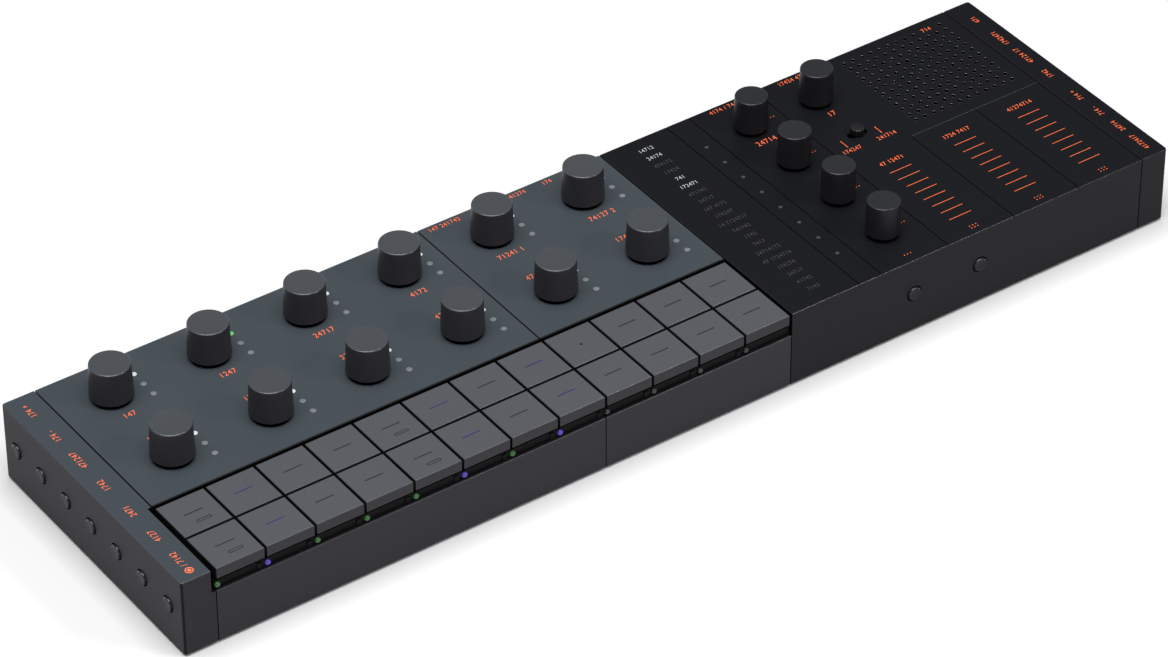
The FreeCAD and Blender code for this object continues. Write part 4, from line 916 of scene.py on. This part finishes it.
touch_columns = (271.2, 295.25, 319.3)
touch_rows = 9.5 + 4.01 * np.arange(8)
orange.append(dashes([(x, y) for x in touch_columns for y in touch_rows], 8.0, 0.17))
switch_ends = ((265.1, 56.9), (277.8, 56.9))
orange.append(dashes(switch_ends, 0.34, 0.34))
tick = prism(bar_outline(3.8, 0.2), -INK / 2, INK / 2)
orange += [turned(tick, 90, x, y, LIFT) for x, y in switch_ends]
page_dots = [(255.6 + 1.1 * (n - (many - 1) / 2), y + 1.1)
             for y, many in zip(slim_rows[::-1], (3, 2, 2, 2)) for n in range(many)]
page_dots += [(247.3 + 1.1 * (n - 1), 3.6) for n in range(3)]
page_dots += [(x + 1.1 * (n - 1), 2.6 + 1.1 * row) for x in touch_columns for n in range(3)
              for row in range(2)]
orange.append(dots(page_dots))
add_piece("Orange_printing", together(orange), orange_ink, "chassis")

list_names = ("14712", "24174", "474172", "17424", "741", "172471", "471742", "24717", "147 4172",
              "174247", "14 7124717", "741742", "1742", "7417", "24714172", "47 1724714", "174274",
              "24717", "41742", "7142")
list_x = 215.9
list_rows = 88.5 - 4.3 * np.arange(len(list_names))
bright_rows = (0, 1, 4, 5)
entries = [(text, list_x, y) for text, y in zip(list_names, list_rows)]
bright = labels([entries[n] for n in bright_rows], height=1.6)
dim = labels([entry for n, entry in enumerate(entries) if n not in bright_rows], height=1.6)
dim.append(dots([(231.15, 79.1 - 9.07 * n) for n in range(8)], 0.6))
add_piece("White_printing", together(bright), white_ink, "chassis")
add_piece("Dim_printing", together(dim), dim_ink, "chassis")


# Marks on the keys

boxed_columns = (1, 5)
violet_columns = (2, 6, 8)
dotted_key = "key_rear_9"
key_dash = prism(bar_outline(6.0, 0.45), -INK / 2, INK / 2)
key_dot = prism(arc((0, 0), 0.5, 0, 330, 12), -INK / 2, INK / 2)
key_box = flat_ring(round_box_outline(4.7, 1.2, 0.5), round_box_outline(4.1, 0.6, 0.25),
                    -INK / 2, INK / 2)
for row in ("front", "rear"):
    for column in range(1, KEY_COLUMNS + 1):
        key = f"key_{row}_{column}"
        x, y, _ = node_middle(key)
        top = node_span(key)[1][2] + INK / 2 - SINK
        if key == dotted_key:
            parts = [turned(key_dot, 0, x, y, top)]
        else:
            parts = [turned(key_dash, 0, x, y + 0.4, top)]
        if column in boxed_columns:
            parts.append(turned(key_box, 0, x + 1.0, y - 3.6, top))
        material = violet_mark if column in violet_columns else dark_mark
        add_piece(f"Mark_{key}", together(parts), material, key)


# Floor, light and camera

floor_mesh = bpy.data.meshes.new("Floor")
floor_mesh.from_pydata([(-4, -4, 0), (4, -4, 0), (4, 4, 0), (-4, 4, 0)], [], [(0, 1, 2, 3)])
floor = bpy.data.objects.new("Floor", floor_mesh)
bpy.context.scene.collection.objects.link(floor)
floor_paint, _, floor_shader = new_material("Floor_paint")
floor_shader.inputs["Base Color"].default_value = (0.52, 0.52, 0.52, 1)
floor_shader.inputs["Roughness"].default_value = 0.9
floor_shader.inputs["Specular IOR Level"].default_value = 0.1
floor_mesh.materials.append(floor_paint)


def area_light(name, place, aim, width, height, power, colour=(1, 1, 1)):
    """Softbox at a place, aimed at a point."""
    data = bpy.data.lights.new(name, "AREA")
    data.shape = "RECTANGLE"
    data.size = width
    data.size_y = height
    data.energy = power
    data.color = colour
    light = bpy.data.objects.new(name, data)
    bpy.context.scene.collection.objects.link(light)
    back = np.array(place, float) - np.array(aim, float)
    back /= np.linalg.norm(back)
    side = np.cross((0, 1, 0) if abs(back[2]) > 0.99 else (0, 0, 1), back)
    side /= np.linalg.norm(side)
    up = np.cross(back, side)
    turn = Matrix([[*row] for row in np.stack([side, up, back], -1)]).to_4x4()
    light.matrix_world = Matrix.Translation(place) @ turn
    return light


area_light("Overhead_softbox", place=(-0.45, -0.3, 2.3), aim=(-0.45, -0.3, 0), width=2.0,
           height=2.0, power=110)
area_light("Edge_softbox", place=(0.91, -1.22, 1.29), aim=(0, 0, 0), width=0.4, height=0.25,
           power=12)

world = bpy.data.worlds.new("Studio")
world.use_nodes = True
surround = world.node_tree.nodes["Background"]
surround.inputs["Color"].default_value = (1, 1, 1, 1)
surround.inputs["Strength"].default_value = 0.25
bpy.context.scene.world = world
bpy.context.scene.view_settings.view_transform = "Standard"

PICTURE_WIDTH, FOCAL_LENGTH = 1168, 5432.5  # pixels of the photo
SENSOR_WIDTH = 36.0
camera_place = (-0.7151, -1.0102, 0.9636)
heading, below_level, roll = -35.054, 37.736, -0.209
camera_data = bpy.data.cameras.new("Camera")
camera_data.sensor_width = SENSOR_WIDTH
camera_data.lens = FOCAL_LENGTH / PICTURE_WIDTH * SENSOR_WIDTH
camera_data.clip_start = 0.05
camera_data.clip_end = 20.0
camera = bpy.data.objects.new("Camera", camera_data)
bpy.context.scene.collection.objects.link(camera)
camera.matrix_world = (
    Matrix.Translation(camera_place)
    @ Matrix.Rotation(math.radians(heading), 4, "Z")
    @ Matrix.Rotation(math.radians(90 - below_level), 4, "X")
    @ Matrix.Rotation(math.radians(roll), 4, "Z")
)
bpy.context.scene.camera = camera
